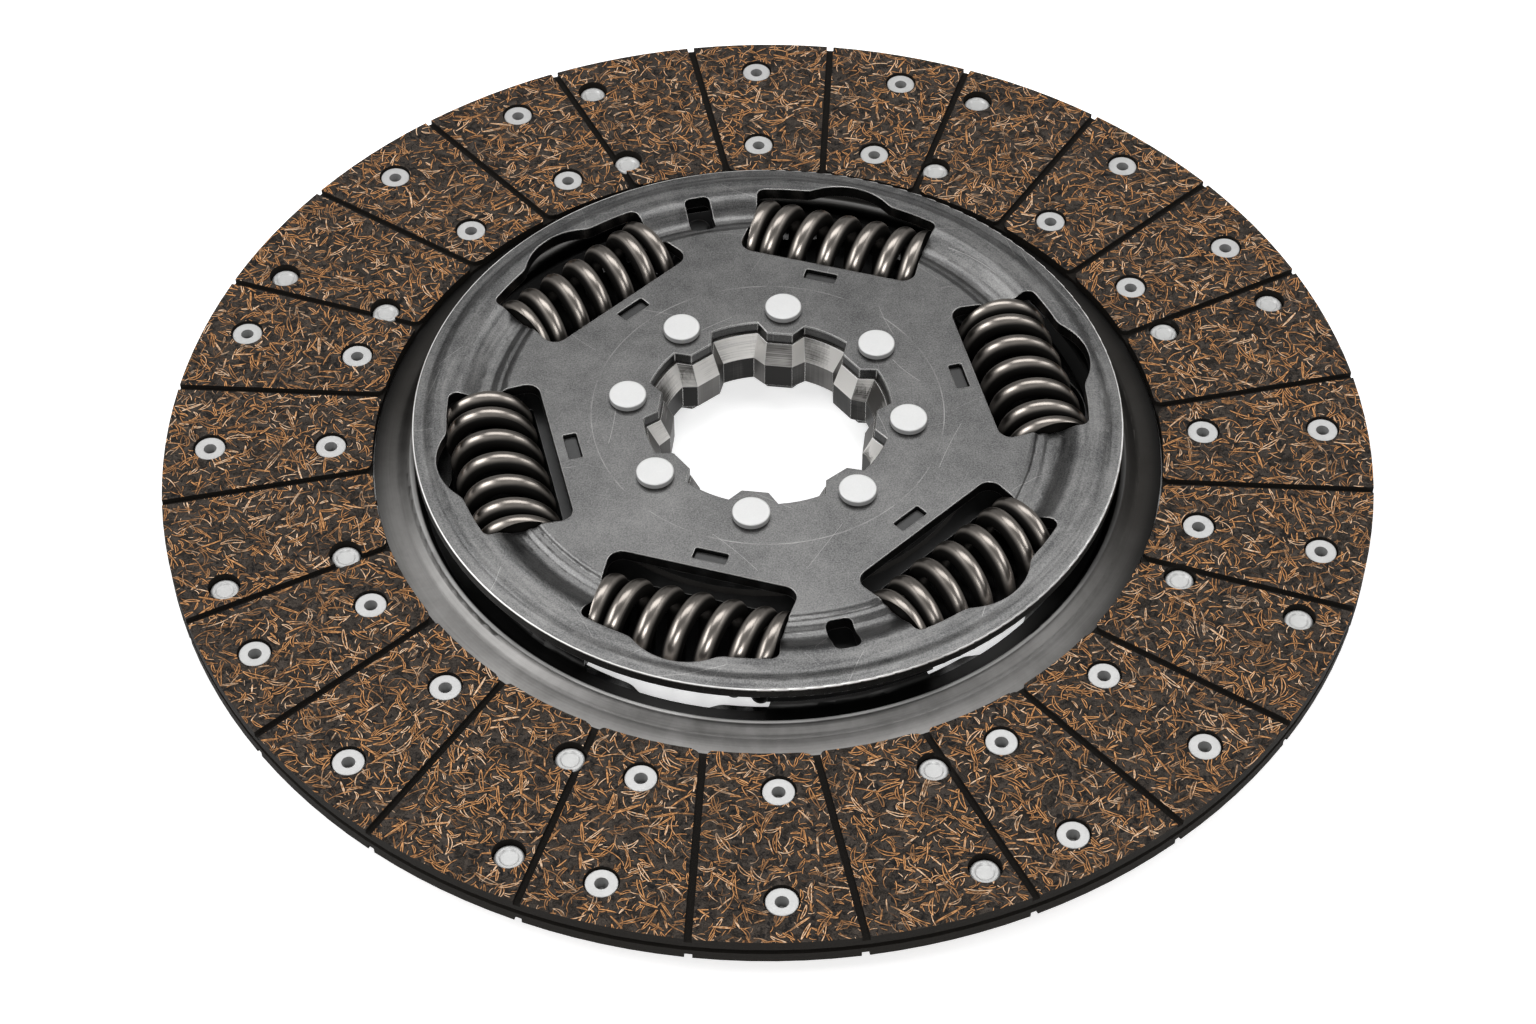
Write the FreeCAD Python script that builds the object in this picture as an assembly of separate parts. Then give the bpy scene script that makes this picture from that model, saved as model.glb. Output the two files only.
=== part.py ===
# Clutch disc with a six-spring torsion damper, in millimetres.
# The disc lies flat with its gearbox side up and its axis on Z. Heights below are measured from the
# damper's middle plane, and finished pieces are lifted so that the lowest rivet heads stand at z = 0.
# Angles are degrees about Z from +X. A radial piece is drawn about +X and then turned to its place.
import FreeCAD
import Part
import math
import os

Vector = FreeCAD.Vector
AXIS = Vector(0, 0, 1)
ORIGIN = Vector(0, 0, 0)
FULL_TURN = 360.0
TOLERANCE = 0.01

# Friction facings
FACING_OUTER_R = 215.0
FACING_INNER_R = 141.0
FACING_THICKNESS = 4.1
FACING_FACE_Z = 0.0
GROOVE_COUNT = 24
GROOVE_WIDTH = 2.6
GROOVE_DEPTH = 2.0
GROOVE_OFFSET = 13.6
GROOVE_RIM_ANGLE = 8.3
GROOVE_FLARE_WIDTH = 2.55
GROOVE_FLARE_R = 2.5

# Facing rivets: eight groups, each with two flush rivets and one set from the rear, in two rows
GROUP_COUNT = 8
GROUP_ANGLE = 8.3
FLUSH_RIVET_ANGLES = (7.0, 23.7)
REAR_RIVET_ANGLE = 32.9
RIVET_OUTER_ROW_INSET = 16.0
RIVET_INNER_ROW_INSET = 15.0
FACING_RIVET_SHANK_R = 3.0
FACING_RIVET_HEAD_R = 5.4
FACING_RIVET_HEAD_THICKNESS = 1.4
FACING_RIVET_HEAD_ROUND = 0.25
FACING_RIVET_TAIL_R = 4.4
FACING_RIVET_TAIL_HEIGHT = 1.1
FACING_RIVET_TAIL_ROUND = 0.6
FACING_RIVET_BUTTON_R = 5.0
FACING_RIVET_BUTTON_HEIGHT = 3.4
FACING_RIVET_BUTTON_ROUND = 0.9
FACING_RIVET_DISH_R = 3.4
FACING_RIVET_DISH_FLOOR_R = 2.8
FACING_RIVET_DISH_DEPTH = 0.5
FACING_RIVET_BORE_MOUTH_R = 2.3
FACING_RIVET_BORE_END_R = 1.2
FACING_RIVET_BORE_DEPTH = 4.0
RIVET_HOLE_CLEARANCE = 0.3
COUNTERBORE_CLEARANCE = 0.6
COUNTERBORE_DEPTH = 2.3
ACCESS_HOLE_R = 5.7

# Cushion segments between the facings
SEGMENT_SHEET = 0.8
SEGMENT_RISE = 1.4
SEGMENT_FOOT_R = 130.5
SEGMENT_RIM_INSET = 1.5
SEGMENT_LEAD_ANGLE = 2.5
SEGMENT_GAP_ANGLE = 1.0
SEGMENT_PAD_HALF_ANGLE = 6.0
SEGMENT_PAD_INNER_R = 147.0
SEGMENT_RAMP_ANGLE = 0.9
SEGMENT_RAMP_LENGTH = 4.0

# Damper springs
SPRING_COUNT = 6
SPRING_ANGLE = 14.0
SPRING_AXIS_R = 96.0
SPRING_OUTER_D = 32.5
SPRING_WIRE_D = 6.9
SPRING_LENGTH = 64.0
SPRING_OPEN_HALF_TURNS = 9
SPRING_CLOSED_HALF_TURNS = 2
SPRING_COIL_GAP = 0.3

# Drive plate, whose arms push on the springs
DRIVE_PLATE_THICKNESS = 4.0
DRIVE_PLATE_OUTER_R = 118.0
ARM_SPRING_CLEARANCE = 0.3
DRIVE_WINDOW_CLEARANCE = 0.7
DRIVE_WINDOW_CORNER_R = 1.2
HUB_RUNNING_CLEARANCE = 0.06

# Carrier disc: pressed sheet with tongues under the arms and a bead round its inside
CARRIER_SHEET = 2.5
CARRIER_TONGUE_R = 84.0
CARRIER_STEP_R = 113.8
CARRIER_STEP_BEND = 3.0
CARRIER_FLOOR_R = 117.0
CARRIER_FLOOR_Z = -6.5
CARRIER_FLOOR_BEND = 2.0
CARRIER_BEAD_FOOT_R = 124.2
CARRIER_BEAD_FOOT_BEND = 1.2
CARRIER_BEAD_PEAK_R = 126.1
CARRIER_BEAD_PEAK_Z = 0.5
CARRIER_BEAD_ROUND = 2.9
CARRIER_FLAT_R = 132.1
CARRIER_FLAT_BEND = 3.0
CARRIER_EDGE_CLEARANCE = 0.5
CARRIER_OPENING_CLEARANCE = 0.8
CARRIER_OPENING_R = 118.5
CARRIER_OPENING_CORNER_R = 4.5

# Rivets that join the arms to the carrier disc
ARM_RIVET_OUTER_R = 108.0
ARM_RIVET_INNER_R = 93.0
ARM_RIVET_INNER_ANGLE = 5.8
ARM_RIVET_SHANK_R = 2.8
ARM_RIVET_HEAD_R = 4.3
ARM_RIVET_HEAD_HEIGHT = 2.5
ARM_RIVET_HEAD_ROUND = 1.2
ARM_RIVET_TAIL_HEIGHT = 1.5
ARM_RIVET_TAIL_ROUND = 0.5

# Hub ring with eight teeth
TOOTH_COUNT = 8
TOOTH_ANGLE = -6.5
HUB_OUTER_R = 57.0
HUB_HALF_HEIGHT = 9.6
HUB_MOUTH_TIP_R = 37.7
HUB_MOUTH_TIP_HALF_ANGLE = 7.0
HUB_MOUTH_ROOT_R = 43.0
HUB_MOUTH_BASE_HALF_ANGLE = 11.4
HUB_TIP_R = 34.4
HUB_TIP_HALF_ANGLE = 8.3
HUB_ROOT_R = 38.9
HUB_BASE_HALF_ANGLE = 14.0
HUB_TAPER_END_Z = 1.3
HUB_CHAMFER = 0.8

# Covers
COVER_SHEET = 4.6
COVER_FLAT_R = 94.5
COVER_FLAT_BEND = 2.2
COVER_STEP_R = 95.6
COVER_STEP_DROP = 1.5
COVER_STEP_BEND = 1.2
COVER_LEDGE_WIDTH = 2.2
COVER_LEDGE_DROP = 1.7
COVER_LEDGE_BEND = 2.0
COVER_VALLEY_R = 99.6
COVER_VALLEY_WIDTH = 3.4
COVER_VALLEY_DROP = 2.9
COVER_VALLEY_INNER_BEND = 1.5
COVER_VALLEY_OUTER_BEND = 5.0
COVER_HUMP_R = 109.5
COVER_HUMP_WIDTH = 10.0
COVER_HUMP_RISE = 1.2
COVER_HUMP_INNER_BEND = 7.0
COVER_HUMP_OUTER_BEND = 6.0
COVER_CREASE_WIDTH = 2.0
COVER_CREASE_RISE = 0.2
COVER_CREASE_BEND = 3.0
COVER_RIM_R = 125.8
COVER_RIM_ROUND = 0.8
COVER_RIM_UNDER_Z = 9.8
COVER_RIM_UNDER_ROUND = 0.6
COVER_UNDER_HUMP_Z = 10.4
COVER_UNDER_HUMP_INSET = 2.0
COVER_UNDER_HUMP_BEND = 4.0
COVER_UNDER_VALLEY_Z = 6.5
COVER_UNDER_VALLEY_INSET = 1.2
COVER_UNDER_VALLEY_BEND = 5.0
COVER_HOLE_TIP_R = 38.3
COVER_HOLE_TIP_HALF_ANGLE = 6.9
COVER_HOLE_ROOT_R = 43.9
COVER_HOLE_BASE_HALF_ANGLE = 11.3
COVER_HOLE_CHAMFER = 0.4
WINDOW_INNER = 76.4
WINDOW_INNER_HALF_WIDTH = 33.6
WINDOW_WAIST = 97.0
WINDOW_END_CLEARANCE = 0.3
WINDOW_OUTER_R = 113.5
WINDOW_OUTER_HALF_WIDTH = 35.0
WINDOW_INNER_CORNER_R = 5.0
WINDOW_OUTER_CORNER_R = 3.0
SCALLOP_R = 22.6
SCALLOP_BLEND_R = 8.0
OUTER_SLOT_ANGLES = (104.0, -76.0)
OUTER_SLOT_WIDTH = 9.5
OUTER_SLOT_INNER_R = 97.0
OUTER_SLOT_OUTER_R = 112.0
OUTER_SLOT_CORNER_R = 2.5

# Hub rivets
HUB_RIVET_CIRCLE_R = 50.0
HUB_RIVET_HEAD_R = 6.6
HUB_RIVET_HEAD_HEIGHT = 2.7
HUB_RIVET_HEAD_BEVEL = 0.6
HUB_RIVET_HEAD_ROUND = 0.5
HUB_RIVET_SHANK_R = 4.8

# Friction and pressure rings between the covers and the drive plate
RING_INNER_R = 60.0
RING_OUTER_R = 75.5
FRICTION_RING_THICKNESS = 3.1
FRICTION_RING_CLEARANCE = 0.05
TAB_CIRCLE_R = 70.5
TAB_LENGTH = 11.4
TAB_WIDTH = 4.4
TAB_CLEARANCE = 0.3
TAB_RECESS = 1.8
TAB_CORNER_R = 0.8

# Sizes that follow from those above
COVER_FACE_Z = HUB_HALF_HEIGHT + COVER_SHEET
MIDDLE_Z = COVER_FACE_Z + HUB_RIVET_HEAD_HEIGHT
DRIVE_HALF = DRIVE_PLATE_THICKNESS / 2
FACING_BACK_Z = FACING_FACE_Z - FACING_THICKNESS
RIVET_ROW_RADII = (FACING_OUTER_R - RIVET_OUTER_ROW_INSET, FACING_INNER_R + RIVET_INNER_ROW_INSET)
SEGMENT_OUTER_R = FACING_OUTER_R - SEGMENT_RIM_INSET
SEGMENT_BASE_TOP_Z = FACING_BACK_Z - SEGMENT_RISE
REAR_FACING_TOP_Z = SEGMENT_BASE_TOP_Z - SEGMENT_SHEET
REAR_FACING_FACE_Z = REAR_FACING_TOP_Z - FACING_THICKNESS
GROUP_PITCH = FULL_TURN / GROUP_COUNT
SPRING_PITCH = FULL_TURN / SPRING_COUNT
TOOTH_PITCH = FULL_TURN / TOOTH_COUNT
SPRING_HALF_LENGTH = SPRING_LENGTH / 2
CUT_MARGIN = 5.0


def polar(radius, degrees, z=0.0):
    """Point at a radius and angle about Z."""
    angle = math.radians(degrees)
    return Vector(radius * math.cos(angle), radius * math.sin(angle), z)


def turned(shape, degrees):
    """Copy of a shape turned about Z."""
    copy = shape.copy()
    copy.rotate(ORIGIN, AXIS, degrees)
    return copy


def mirrored(shape):
    """Copy of a shape on the other side of the damper's middle plane."""
    return shape.mirror(ORIGIN, AXIS)


def ring(inner_r, outer_r, low_z, high_z):
    """Flat ring about Z."""
    height = high_z - low_z
    outside = Part.makeCylinder(outer_r, height, Vector(0, 0, low_z))
    return outside.cut(Part.makeCylinder(inner_r, height, Vector(0, 0, low_z)))


def corner_arc(before, corner, after, radius):
    """Start, middle and end of the tangent arc that rounds one corner of an outline."""
    towards_before = (before - corner).normalize()
    towards_after = (after - corner).normalize()
    half_angle = towards_before.getAngle(towards_after) / 2
    reach = radius / math.tan(half_angle)
    bisector = (towards_before + towards_after).normalize()
    middle = corner + bisector * (radius / math.sin(half_angle) - radius)
    return corner + towards_before * reach, middle, corner + towards_after * reach


def rounded_wire(corners):
    """Closed wire through corners given as (point, radius)."""
    count = len(corners)
    stops = []
    for index, (point, radius) in enumerate(corners):
        before = corners[index - 1][0]
        after = corners[(index + 1) % count][0]
        stops.append(corner_arc(before, point, after, radius) if radius > 0 else (point,))
    edges = []
    for index, stop in enumerate(stops):
        if len(stop) > 1:
            edges.append(Part.Arc(*stop).toShape())
        edges.append(Part.makeLine(stop[-1], stops[(index + 1) % count][0]))
    return Part.Wire(edges)


def prism(corners, low_z, high_z):
    """Upright prism on (x, y, corner radius) corners."""
    wire = rounded_wire([(Vector(x, y, low_z), radius) for x, y, radius in corners])
    return Part.Face(wire).extrude(Vector(0, 0, high_z - low_z))


def revolved(corners):
    """Solid of revolution about Z from (r, z, corner radius) corners."""
    wire = rounded_wire([(Vector(r, 0, z), radius) for r, z, radius in corners])
    return Part.Face(wire).revolve(ORIGIN, AXIS, FULL_TURN)


def block(near, far, half_width, corner_r, low_z, high_z):
    """Upright block about +X between two distances from the axis."""
    corners = [(near, -half_width), (far, -half_width), (far, half_width), (near, half_width)]
    return prism([(x, y, corner_r) for x, y in corners], low_z, high_z)


def sheet_section(path, thickness):
    """Corners of a bent sheet's section. The path is its upper face, from the inside out."""
    lower = []
    for index, (r, z, bend) in enumerate(path):
        here = Vector(r, z, 0)
        sides = []
        if index > 0:
            sides.append((here - Vector(path[index - 1][0], path[index - 1][1], 0)).normalize())
        if index < len(path) - 1:
            sides.append((Vector(path[index + 1][0], path[index + 1][1], 0) - here).normalize())
        first = Vector(sides[0].y, -sides[0].x, 0)
        last = Vector(sides[-1].y, -sides[-1].x, 0)
        shift = (first + last) * (thickness / (1 + first.dot(last)))
        turn = sides[0].cross(sides[-1]).z
        radius = bend + math.copysign(thickness, turn) if bend > 0 else 0.0
        lower.append((r + shift.x, z + shift.y, max(radius, 0.0)))
    return list(path) + lower[::-1]


def upright_edges(solid, wanted):
    """Edges of a prism that stand along Z at a point the test accepts."""
    found = []
    for edge in solid.Edges:
        ends = [vertex.Point for vertex in edge.Vertexes]
        if len(ends) == 2 and abs((ends[0] - ends[1]).normalize().z) > 0.999 and wanted(ends[0]):
            found.append(edge)
    return found


def sector_wire(inner_r, outer_r, start, end, z):
    """Outline of a ring's sector."""
    middle = (start + end) / 2
    inner = Part.Arc(polar(inner_r, start, z), polar(inner_r, middle, z), polar(inner_r, end, z))
    outer = Part.Arc(polar(outer_r, end, z), polar(outer_r, middle, z), polar(outer_r, start, z))
    return Part.Wire([
        inner.toShape(),
        Part.makeLine(polar(inner_r, end, z), polar(outer_r, end, z)),
        outer.toShape(),
        Part.makeLine(polar(outer_r, start, z), polar(inner_r, start, z)),
    ])


def flush_rivet_places():
    """Centres of the facing rivets whose heads show in the front facing."""
    return [
        polar(radius, GROUP_ANGLE + group * GROUP_PITCH - offset)
        for group in range(GROUP_COUNT)
        for offset in FLUSH_RIVET_ANGLES
        for radius in RIVET_ROW_RADII
    ]


def rear_rivet_places():
    """Centres of the facing rivets whose heads lie in the rear facing."""
    return [
        polar(radius, GROUP_ANGLE + group * GROUP_PITCH - REAR_RIVET_ANGLE)
        for group in range(GROUP_COUNT)
        for radius in RIVET_ROW_RADII
    ]


def round_holes(places, radius, low_z, high_z):
    """One upright cylinder at each place."""
    return [
        Part.makeCylinder(radius, high_z - low_z, Vector(place.x, place.y, low_z))
        for place in places
    ]


def groove_tool():
    """Straight groove with a flared inner mouth, cut from the front face down, about +X."""
    half = GROOVE_WIDTH / 2
    start = math.sqrt(FACING_INNER_R ** 2 - GROOVE_OFFSET ** 2)
    inside = start - CUT_MARGIN
    outside = FACING_OUTER_R + CUT_MARGIN
    flare = half + GROOVE_FLARE_WIDTH
    corners = [
        (inside, -flare - GROOVE_OFFSET, 0),
        (start, -flare - GROOVE_OFFSET, 0),
        (start, -half - GROOVE_OFFSET, 0),
        (outside, -half - GROOVE_OFFSET, 0),
        (outside, half - GROOVE_OFFSET, 0),
        (start, half - GROOVE_OFFSET, 0),
        (start, flare - GROOVE_OFFSET, 0),
        (inside, flare - GROOVE_OFFSET, 0),
    ]
    tool = prism(corners, FACING_FACE_Z - GROOVE_DEPTH, FACING_FACE_Z + CUT_MARGIN)
    mouth = upright_edges(
        tool,
        lambda p: abs(p.x - start) < TOLERANCE and abs(p.y + GROOVE_OFFSET) < half + TOLERANCE,
    )
    return tool.makeFillet(GROOVE_FLARE_R, mouth)


def grooved_ring():
    """Facing blank with its grooved face up at the front facing's place."""
    blank = ring(FACING_INNER_R, FACING_OUTER_R, FACING_BACK_Z, FACING_FACE_Z)
    tool = groove_tool()
    lean = math.degrees(math.asin(GROOVE_OFFSET / FACING_OUTER_R))
    pitch = FULL_TURN / GROOVE_COUNT
    return blank.cut([
        turned(tool, GROOVE_RIM_ANGLE + lean + index * pitch) for index in range(GROOVE_COUNT)
    ])


def drilled_facing(blank, sunk_places, access_places):
    """Front facing's blank with rivet seats at some places and access holes at the others."""
    hole_r = FACING_RIVET_SHANK_R + RIVET_HOLE_CLEARANCE
    seat_r = FACING_RIVET_HEAD_R + COUNTERBORE_CLEARANCE
    top = FACING_FACE_Z + CUT_MARGIN
    bottom = FACING_BACK_Z - CUT_MARGIN
    tools = round_holes(sunk_places, hole_r, bottom, top)
    tools += round_holes(sunk_places, seat_r, FACING_FACE_Z - COUNTERBORE_DEPTH, top)
    tools += round_holes(access_places, ACCESS_HOLE_R, bottom, top)
    return blank.cut(tools)


def front_facing():
    return drilled_facing(grooved_ring(), flush_rivet_places(), rear_rivet_places())


def rear_facing():
    facing = drilled_facing(grooved_ring(), rear_rivet_places(), flush_rivet_places())
    flipped = mirrored(facing)
    flipped.translate(Vector(0, 0, REAR_FACING_FACE_Z + FACING_FACE_Z))
    return flipped


def facing_rivet(seat_z, tail):
    """Tubular facing rivet with its head up. The tail's corners run from the shank to the axis."""
    head_top = seat_z + FACING_RIVET_HEAD_THICKNESS
    bore_end = head_top - FACING_RIVET_BORE_DEPTH
    return revolved([
        (0, bore_end, 0),
        (FACING_RIVET_BORE_END_R, bore_end, 0),
        (FACING_RIVET_BORE_MOUTH_R, head_top, 0),
        (FACING_RIVET_HEAD_R, head_top, FACING_RIVET_HEAD_ROUND),
        (FACING_RIVET_HEAD_R, seat_z, 0),
        (FACING_RIVET_SHANK_R, seat_z, 0),
    ] + tail)


def set_at(shape, places):
    """One compound of copies at the places."""
    copies = []
    for place in places:
        copy = shape.copy()
        copy.translate(place)
        copies.append(copy)
    return Part.makeCompound(copies)


def front_facing_rivets():
    """Rivets whose tails lie in the rear facing's access holes."""
    grip_z = FACING_BACK_Z - SEGMENT_SHEET
    end_z = grip_z - FACING_RIVET_TAIL_HEIGHT
    tail = [
        (FACING_RIVET_SHANK_R, grip_z, 0),
        (FACING_RIVET_TAIL_R, grip_z, 0),
        (FACING_RIVET_TAIL_R, end_z, FACING_RIVET_TAIL_ROUND),
        (0, end_z, 0),
    ]
    return set_at(facing_rivet(FACING_FACE_Z - COUNTERBORE_DEPTH, tail), flush_rivet_places())


def rear_facing_rivets():
    """Rivets whose dished buttons stand in the front facing's access holes."""
    grip_z = -SEGMENT_BASE_TOP_Z
    end_z = grip_z - FACING_RIVET_BUTTON_HEIGHT
    dish_z = end_z + FACING_RIVET_DISH_DEPTH
    tail = [
        (FACING_RIVET_SHANK_R, grip_z, 0),
        (FACING_RIVET_BUTTON_R, grip_z, 0),
        (FACING_RIVET_BUTTON_R, end_z, FACING_RIVET_BUTTON_ROUND),
        (FACING_RIVET_DISH_R, end_z, 0),
        (FACING_RIVET_DISH_FLOOR_R, dish_z, 0),
        (0, dish_z, 0),
    ]
    seat_z = -(REAR_FACING_FACE_Z + COUNTERBORE_DEPTH)
    return set_at(mirrored(facing_rivet(seat_z, tail)), rear_rivet_places())


def pad_tool(start, end, lift):
    """Raised pad's block with sloping sides, at the sheet's top or bottom face."""
    outside = SEGMENT_OUTER_R + CUT_MARGIN
    low = sector_wire(
        SEGMENT_PAD_INNER_R - SEGMENT_RAMP_LENGTH, outside,
        start - SEGMENT_RAMP_ANGLE, end + SEGMENT_RAMP_ANGLE, SEGMENT_BASE_TOP_Z + lift,
    )
    high = sector_wire(
        SEGMENT_PAD_INNER_R, outside, start, end, SEGMENT_BASE_TOP_Z + SEGMENT_RISE + lift
    )
    return Part.makeLoft([low, high], True, True)


def cushion_segment():
    """Segment of the first group: flat spring steel with two pads pressed up to the front facing."""
    start = GROUP_ANGLE + SEGMENT_LEAD_ANGLE - GROUP_PITCH + SEGMENT_GAP_ANGLE / 2
    end = GROUP_ANGLE + SEGMENT_LEAD_ANGLE - SEGMENT_GAP_ANGLE / 2
    base_bottom = SEGMENT_BASE_TOP_Z - SEGMENT_SHEET
    outline = sector_wire(SEGMENT_FOOT_R, SEGMENT_OUTER_R, start, end, base_bottom)
    plan = Part.Face(outline)
    segment = plan.extrude(Vector(0, 0, SEGMENT_SHEET))
    tops = []
    hollows = []
    for offset in FLUSH_RIVET_ANGLES:
        low_angle = GROUP_ANGLE - offset - SEGMENT_PAD_HALF_ANGLE
        high_angle = GROUP_ANGLE - offset + SEGMENT_PAD_HALF_ANGLE
        tops.append(pad_tool(low_angle, high_angle, 0))
        hollows.append(pad_tool(low_angle, high_angle, -SEGMENT_SHEET))
    segment = segment.fuse(tops).cut(hollows)
    segment = segment.common(plan.extrude(Vector(0, 0, SEGMENT_SHEET + SEGMENT_RISE)))
    hole_r = FACING_RIVET_SHANK_R + RIVET_HOLE_CLEARANCE
    group_angles = FLUSH_RIVET_ANGLES + (REAR_RIVET_ANGLE,)
    places = [polar(r, GROUP_ANGLE - offset) for offset in group_angles for r in RIVET_ROW_RADII]
    segment = segment.cut(round_holes(places, hole_r, base_bottom - CUT_MARGIN, FACING_FACE_Z))
    return segment.removeSplitter()


def carrier_disc():
    """Pressed disc that carries the segments: tongues, sunk floor, bead and flat outer annulus."""
    annulus_top = SEGMENT_BASE_TOP_Z + CARRIER_SHEET
    outer_r = FACING_INNER_R - CARRIER_EDGE_CLEARANCE
    path = [
        (CARRIER_TONGUE_R, -DRIVE_HALF, 0),
        (CARRIER_STEP_R, -DRIVE_HALF, CARRIER_STEP_BEND),
        (CARRIER_FLOOR_R, CARRIER_FLOOR_Z, CARRIER_FLOOR_BEND),
        (CARRIER_BEAD_FOOT_R, CARRIER_FLOOR_Z, CARRIER_BEAD_FOOT_BEND),
        (CARRIER_BEAD_PEAK_R, CARRIER_BEAD_PEAK_Z, CARRIER_BEAD_ROUND),
        (CARRIER_FLAT_R, annulus_top, CARRIER_FLAT_BEND),
        (outer_r, annulus_top, 0),
    ]
    disc = revolved(sheet_section(path, CARRIER_SHEET))
    half = SPRING_HALF_LENGTH + CARRIER_OPENING_CLEARANCE
    low = CARRIER_FLOOR_Z - CARRIER_SHEET - CUT_MARGIN
    high = CUT_MARGIN
    opening = block(CARRIER_TONGUE_R / 2, CARRIER_OPENING_R + CUT_MARGIN, half, 0, low, high)
    opening = opening.common(Part.makeCylinder(CARRIER_OPENING_R, high - low, Vector(0, 0, low)))
    rounded = upright_edges(opening, lambda p: p.x > SPRING_AXIS_R)
    opening = opening.makeFillet(CARRIER_OPENING_CORNER_R, rounded)
    tools = [turned(opening, SPRING_ANGLE + k * SPRING_PITCH) for k in range(SPRING_COUNT)]
    tools += round_holes(arm_rivet_places(), arm_rivet_hole_r(), low, high)
    return disc.cut(tools)


def arm_rivet_hole_r():
    """Radius of the holes for the arm rivets."""
    return ARM_RIVET_SHANK_R + RIVET_HOLE_CLEARANCE


def arm_rivet_places():
    """Three rivets on each arm, halfway between two springs."""
    places = []
    for index in range(SPRING_COUNT):
        arm = SPRING_ANGLE + (index + 0.5) * SPRING_PITCH
        places.append(polar(ARM_RIVET_OUTER_R, arm))
        places.append(polar(ARM_RIVET_INNER_R, arm - ARM_RIVET_INNER_ANGLE))
        places.append(polar(ARM_RIVET_INNER_R, arm + ARM_RIVET_INNER_ANGLE))
    return places


def arm_rivets():
    head_top = DRIVE_HALF + ARM_RIVET_HEAD_HEIGHT
    seat = -DRIVE_HALF - CARRIER_SHEET
    tail = seat - ARM_RIVET_TAIL_HEIGHT
    rivet = revolved([
        (0, tail, 0),
        (ARM_RIVET_HEAD_R, tail, ARM_RIVET_TAIL_ROUND),
        (ARM_RIVET_HEAD_R, seat, 0),
        (ARM_RIVET_SHANK_R, seat, 0),
        (ARM_RIVET_SHANK_R, DRIVE_HALF, 0),
        (ARM_RIVET_HEAD_R, DRIVE_HALF, 0),
        (ARM_RIVET_HEAD_R, head_top, ARM_RIVET_HEAD_ROUND),
        (0, head_top, 0),
    ])
    return set_at(rivet, arm_rivet_places())


def drive_plate():
    """Flat plate that turns on the hub ring, with six arms between the springs."""
    plate = ring(
        HUB_OUTER_R + HUB_RUNNING_CLEARANCE, DRIVE_PLATE_OUTER_R, -DRIVE_HALF, DRIVE_HALF
    )
    half = SPRING_HALF_LENGTH + ARM_SPRING_CLEARANCE
    inside = SPRING_AXIS_R - SPRING_OUTER_D / 2 - DRIVE_WINDOW_CLEARANCE
    outside = DRIVE_PLATE_OUTER_R + CUT_MARGIN
    window = block(inside, outside, half, DRIVE_WINDOW_CORNER_R, -CUT_MARGIN, CUT_MARGIN)
    tools = [turned(window, SPRING_ANGLE + k * SPRING_PITCH) for k in range(SPRING_COUNT)]
    tools += round_holes(arm_rivet_places(), arm_rivet_hole_r(), -CUT_MARGIN, CUT_MARGIN)
    return plate.cut(tools)


def damper_spring():
    """Coil spring along Y at +X, a chain of half turns that each lean over, ends ground flat."""
    coil_r = (SPRING_OUTER_D - SPRING_WIRE_D) / 2
    closed_rises = [(SPRING_WIRE_D + SPRING_COIL_GAP) / 2] * SPRING_CLOSED_HALF_TURNS
    open_rise = (SPRING_LENGTH - 2 * sum(closed_rises)) / SPRING_OPEN_HALF_TURNS
    edges = []
    y = -SPRING_HALF_LENGTH
    side = 1
    for rise in closed_rises + [open_rise] * SPRING_OPEN_HALF_TURNS + closed_rises:
        start = Vector(SPRING_AXIS_R + side * coil_r, y, 0)
        y += rise
        end = Vector(SPRING_AXIS_R - side * coil_r, y, 0)
        height = (end - start).Length / 2
        middle = (start + end) * 0.5 + Vector(0, 0, side * height)
        edges.append(Part.Arc(start, middle, end).toShape())
        side = -side
    start = Vector(SPRING_AXIS_R + coil_r, -SPRING_HALF_LENGTH, 0)
    wire_section = Part.Wire([Part.makeCircle(SPRING_WIRE_D / 2, start, AXIS)])
    coil = Part.Wire(edges).makePipeShell([wire_section], True, False)
    trim = Part.makeBox(
        2 * SPRING_OUTER_D, SPRING_LENGTH, 2 * SPRING_OUTER_D,
        Vector(SPRING_AXIS_R - SPRING_OUTER_D, -SPRING_HALF_LENGTH, -SPRING_OUTER_D),
    )
    return coil.common(trim)


def toothed_wire(tip_r, tip_half, root_r, base_half, z):
    """Outline of a toothed hole: straight tips and flanks, with root arcs between the teeth."""
    corner_r = tip_r / math.cos(math.radians(tip_half))
    edges = []
    for index in range(TOOTH_COUNT):
        tooth = TOOTH_ANGLE + index * TOOTH_PITCH
        rising = polar(root_r, tooth - base_half, z)
        first = polar(corner_r, tooth - tip_half, z)
        second = polar(corner_r, tooth + tip_half, z)
        falling = polar(root_r, tooth + base_half, z)
        bottom = polar(root_r, tooth + TOOTH_PITCH / 2, z)
        following = polar(root_r, tooth + TOOTH_PITCH - base_half, z)
        edges += [Part.makeLine(rising, first), Part.makeLine(first, second)]
        edges += [Part.makeLine(second, falling), Part.Arc(falling, bottom, following).toShape()]
    return Part.Wire(edges)


def hub_wire(growth, z):
    """Outline of the hub's straight teeth, opened by a chamfer's growth."""
    return toothed_wire(
        HUB_TIP_R + growth, HUB_TIP_HALF_ANGLE, HUB_ROOT_R + growth, HUB_BASE_HALF_ANGLE, z
    )


def hub_rivet_places():
    """One hub rivet behind each tooth."""
    return [polar(HUB_RIVET_CIRCLE_R, TOOTH_ANGLE + k * TOOTH_PITCH) for k in range(TOOTH_COUNT)]


def hub_rivet_hole_r():
    """Radius of the holes for the hub rivets."""
    return HUB_RIVET_SHANK_R + RIVET_HOLE_CLEARANCE


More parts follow.
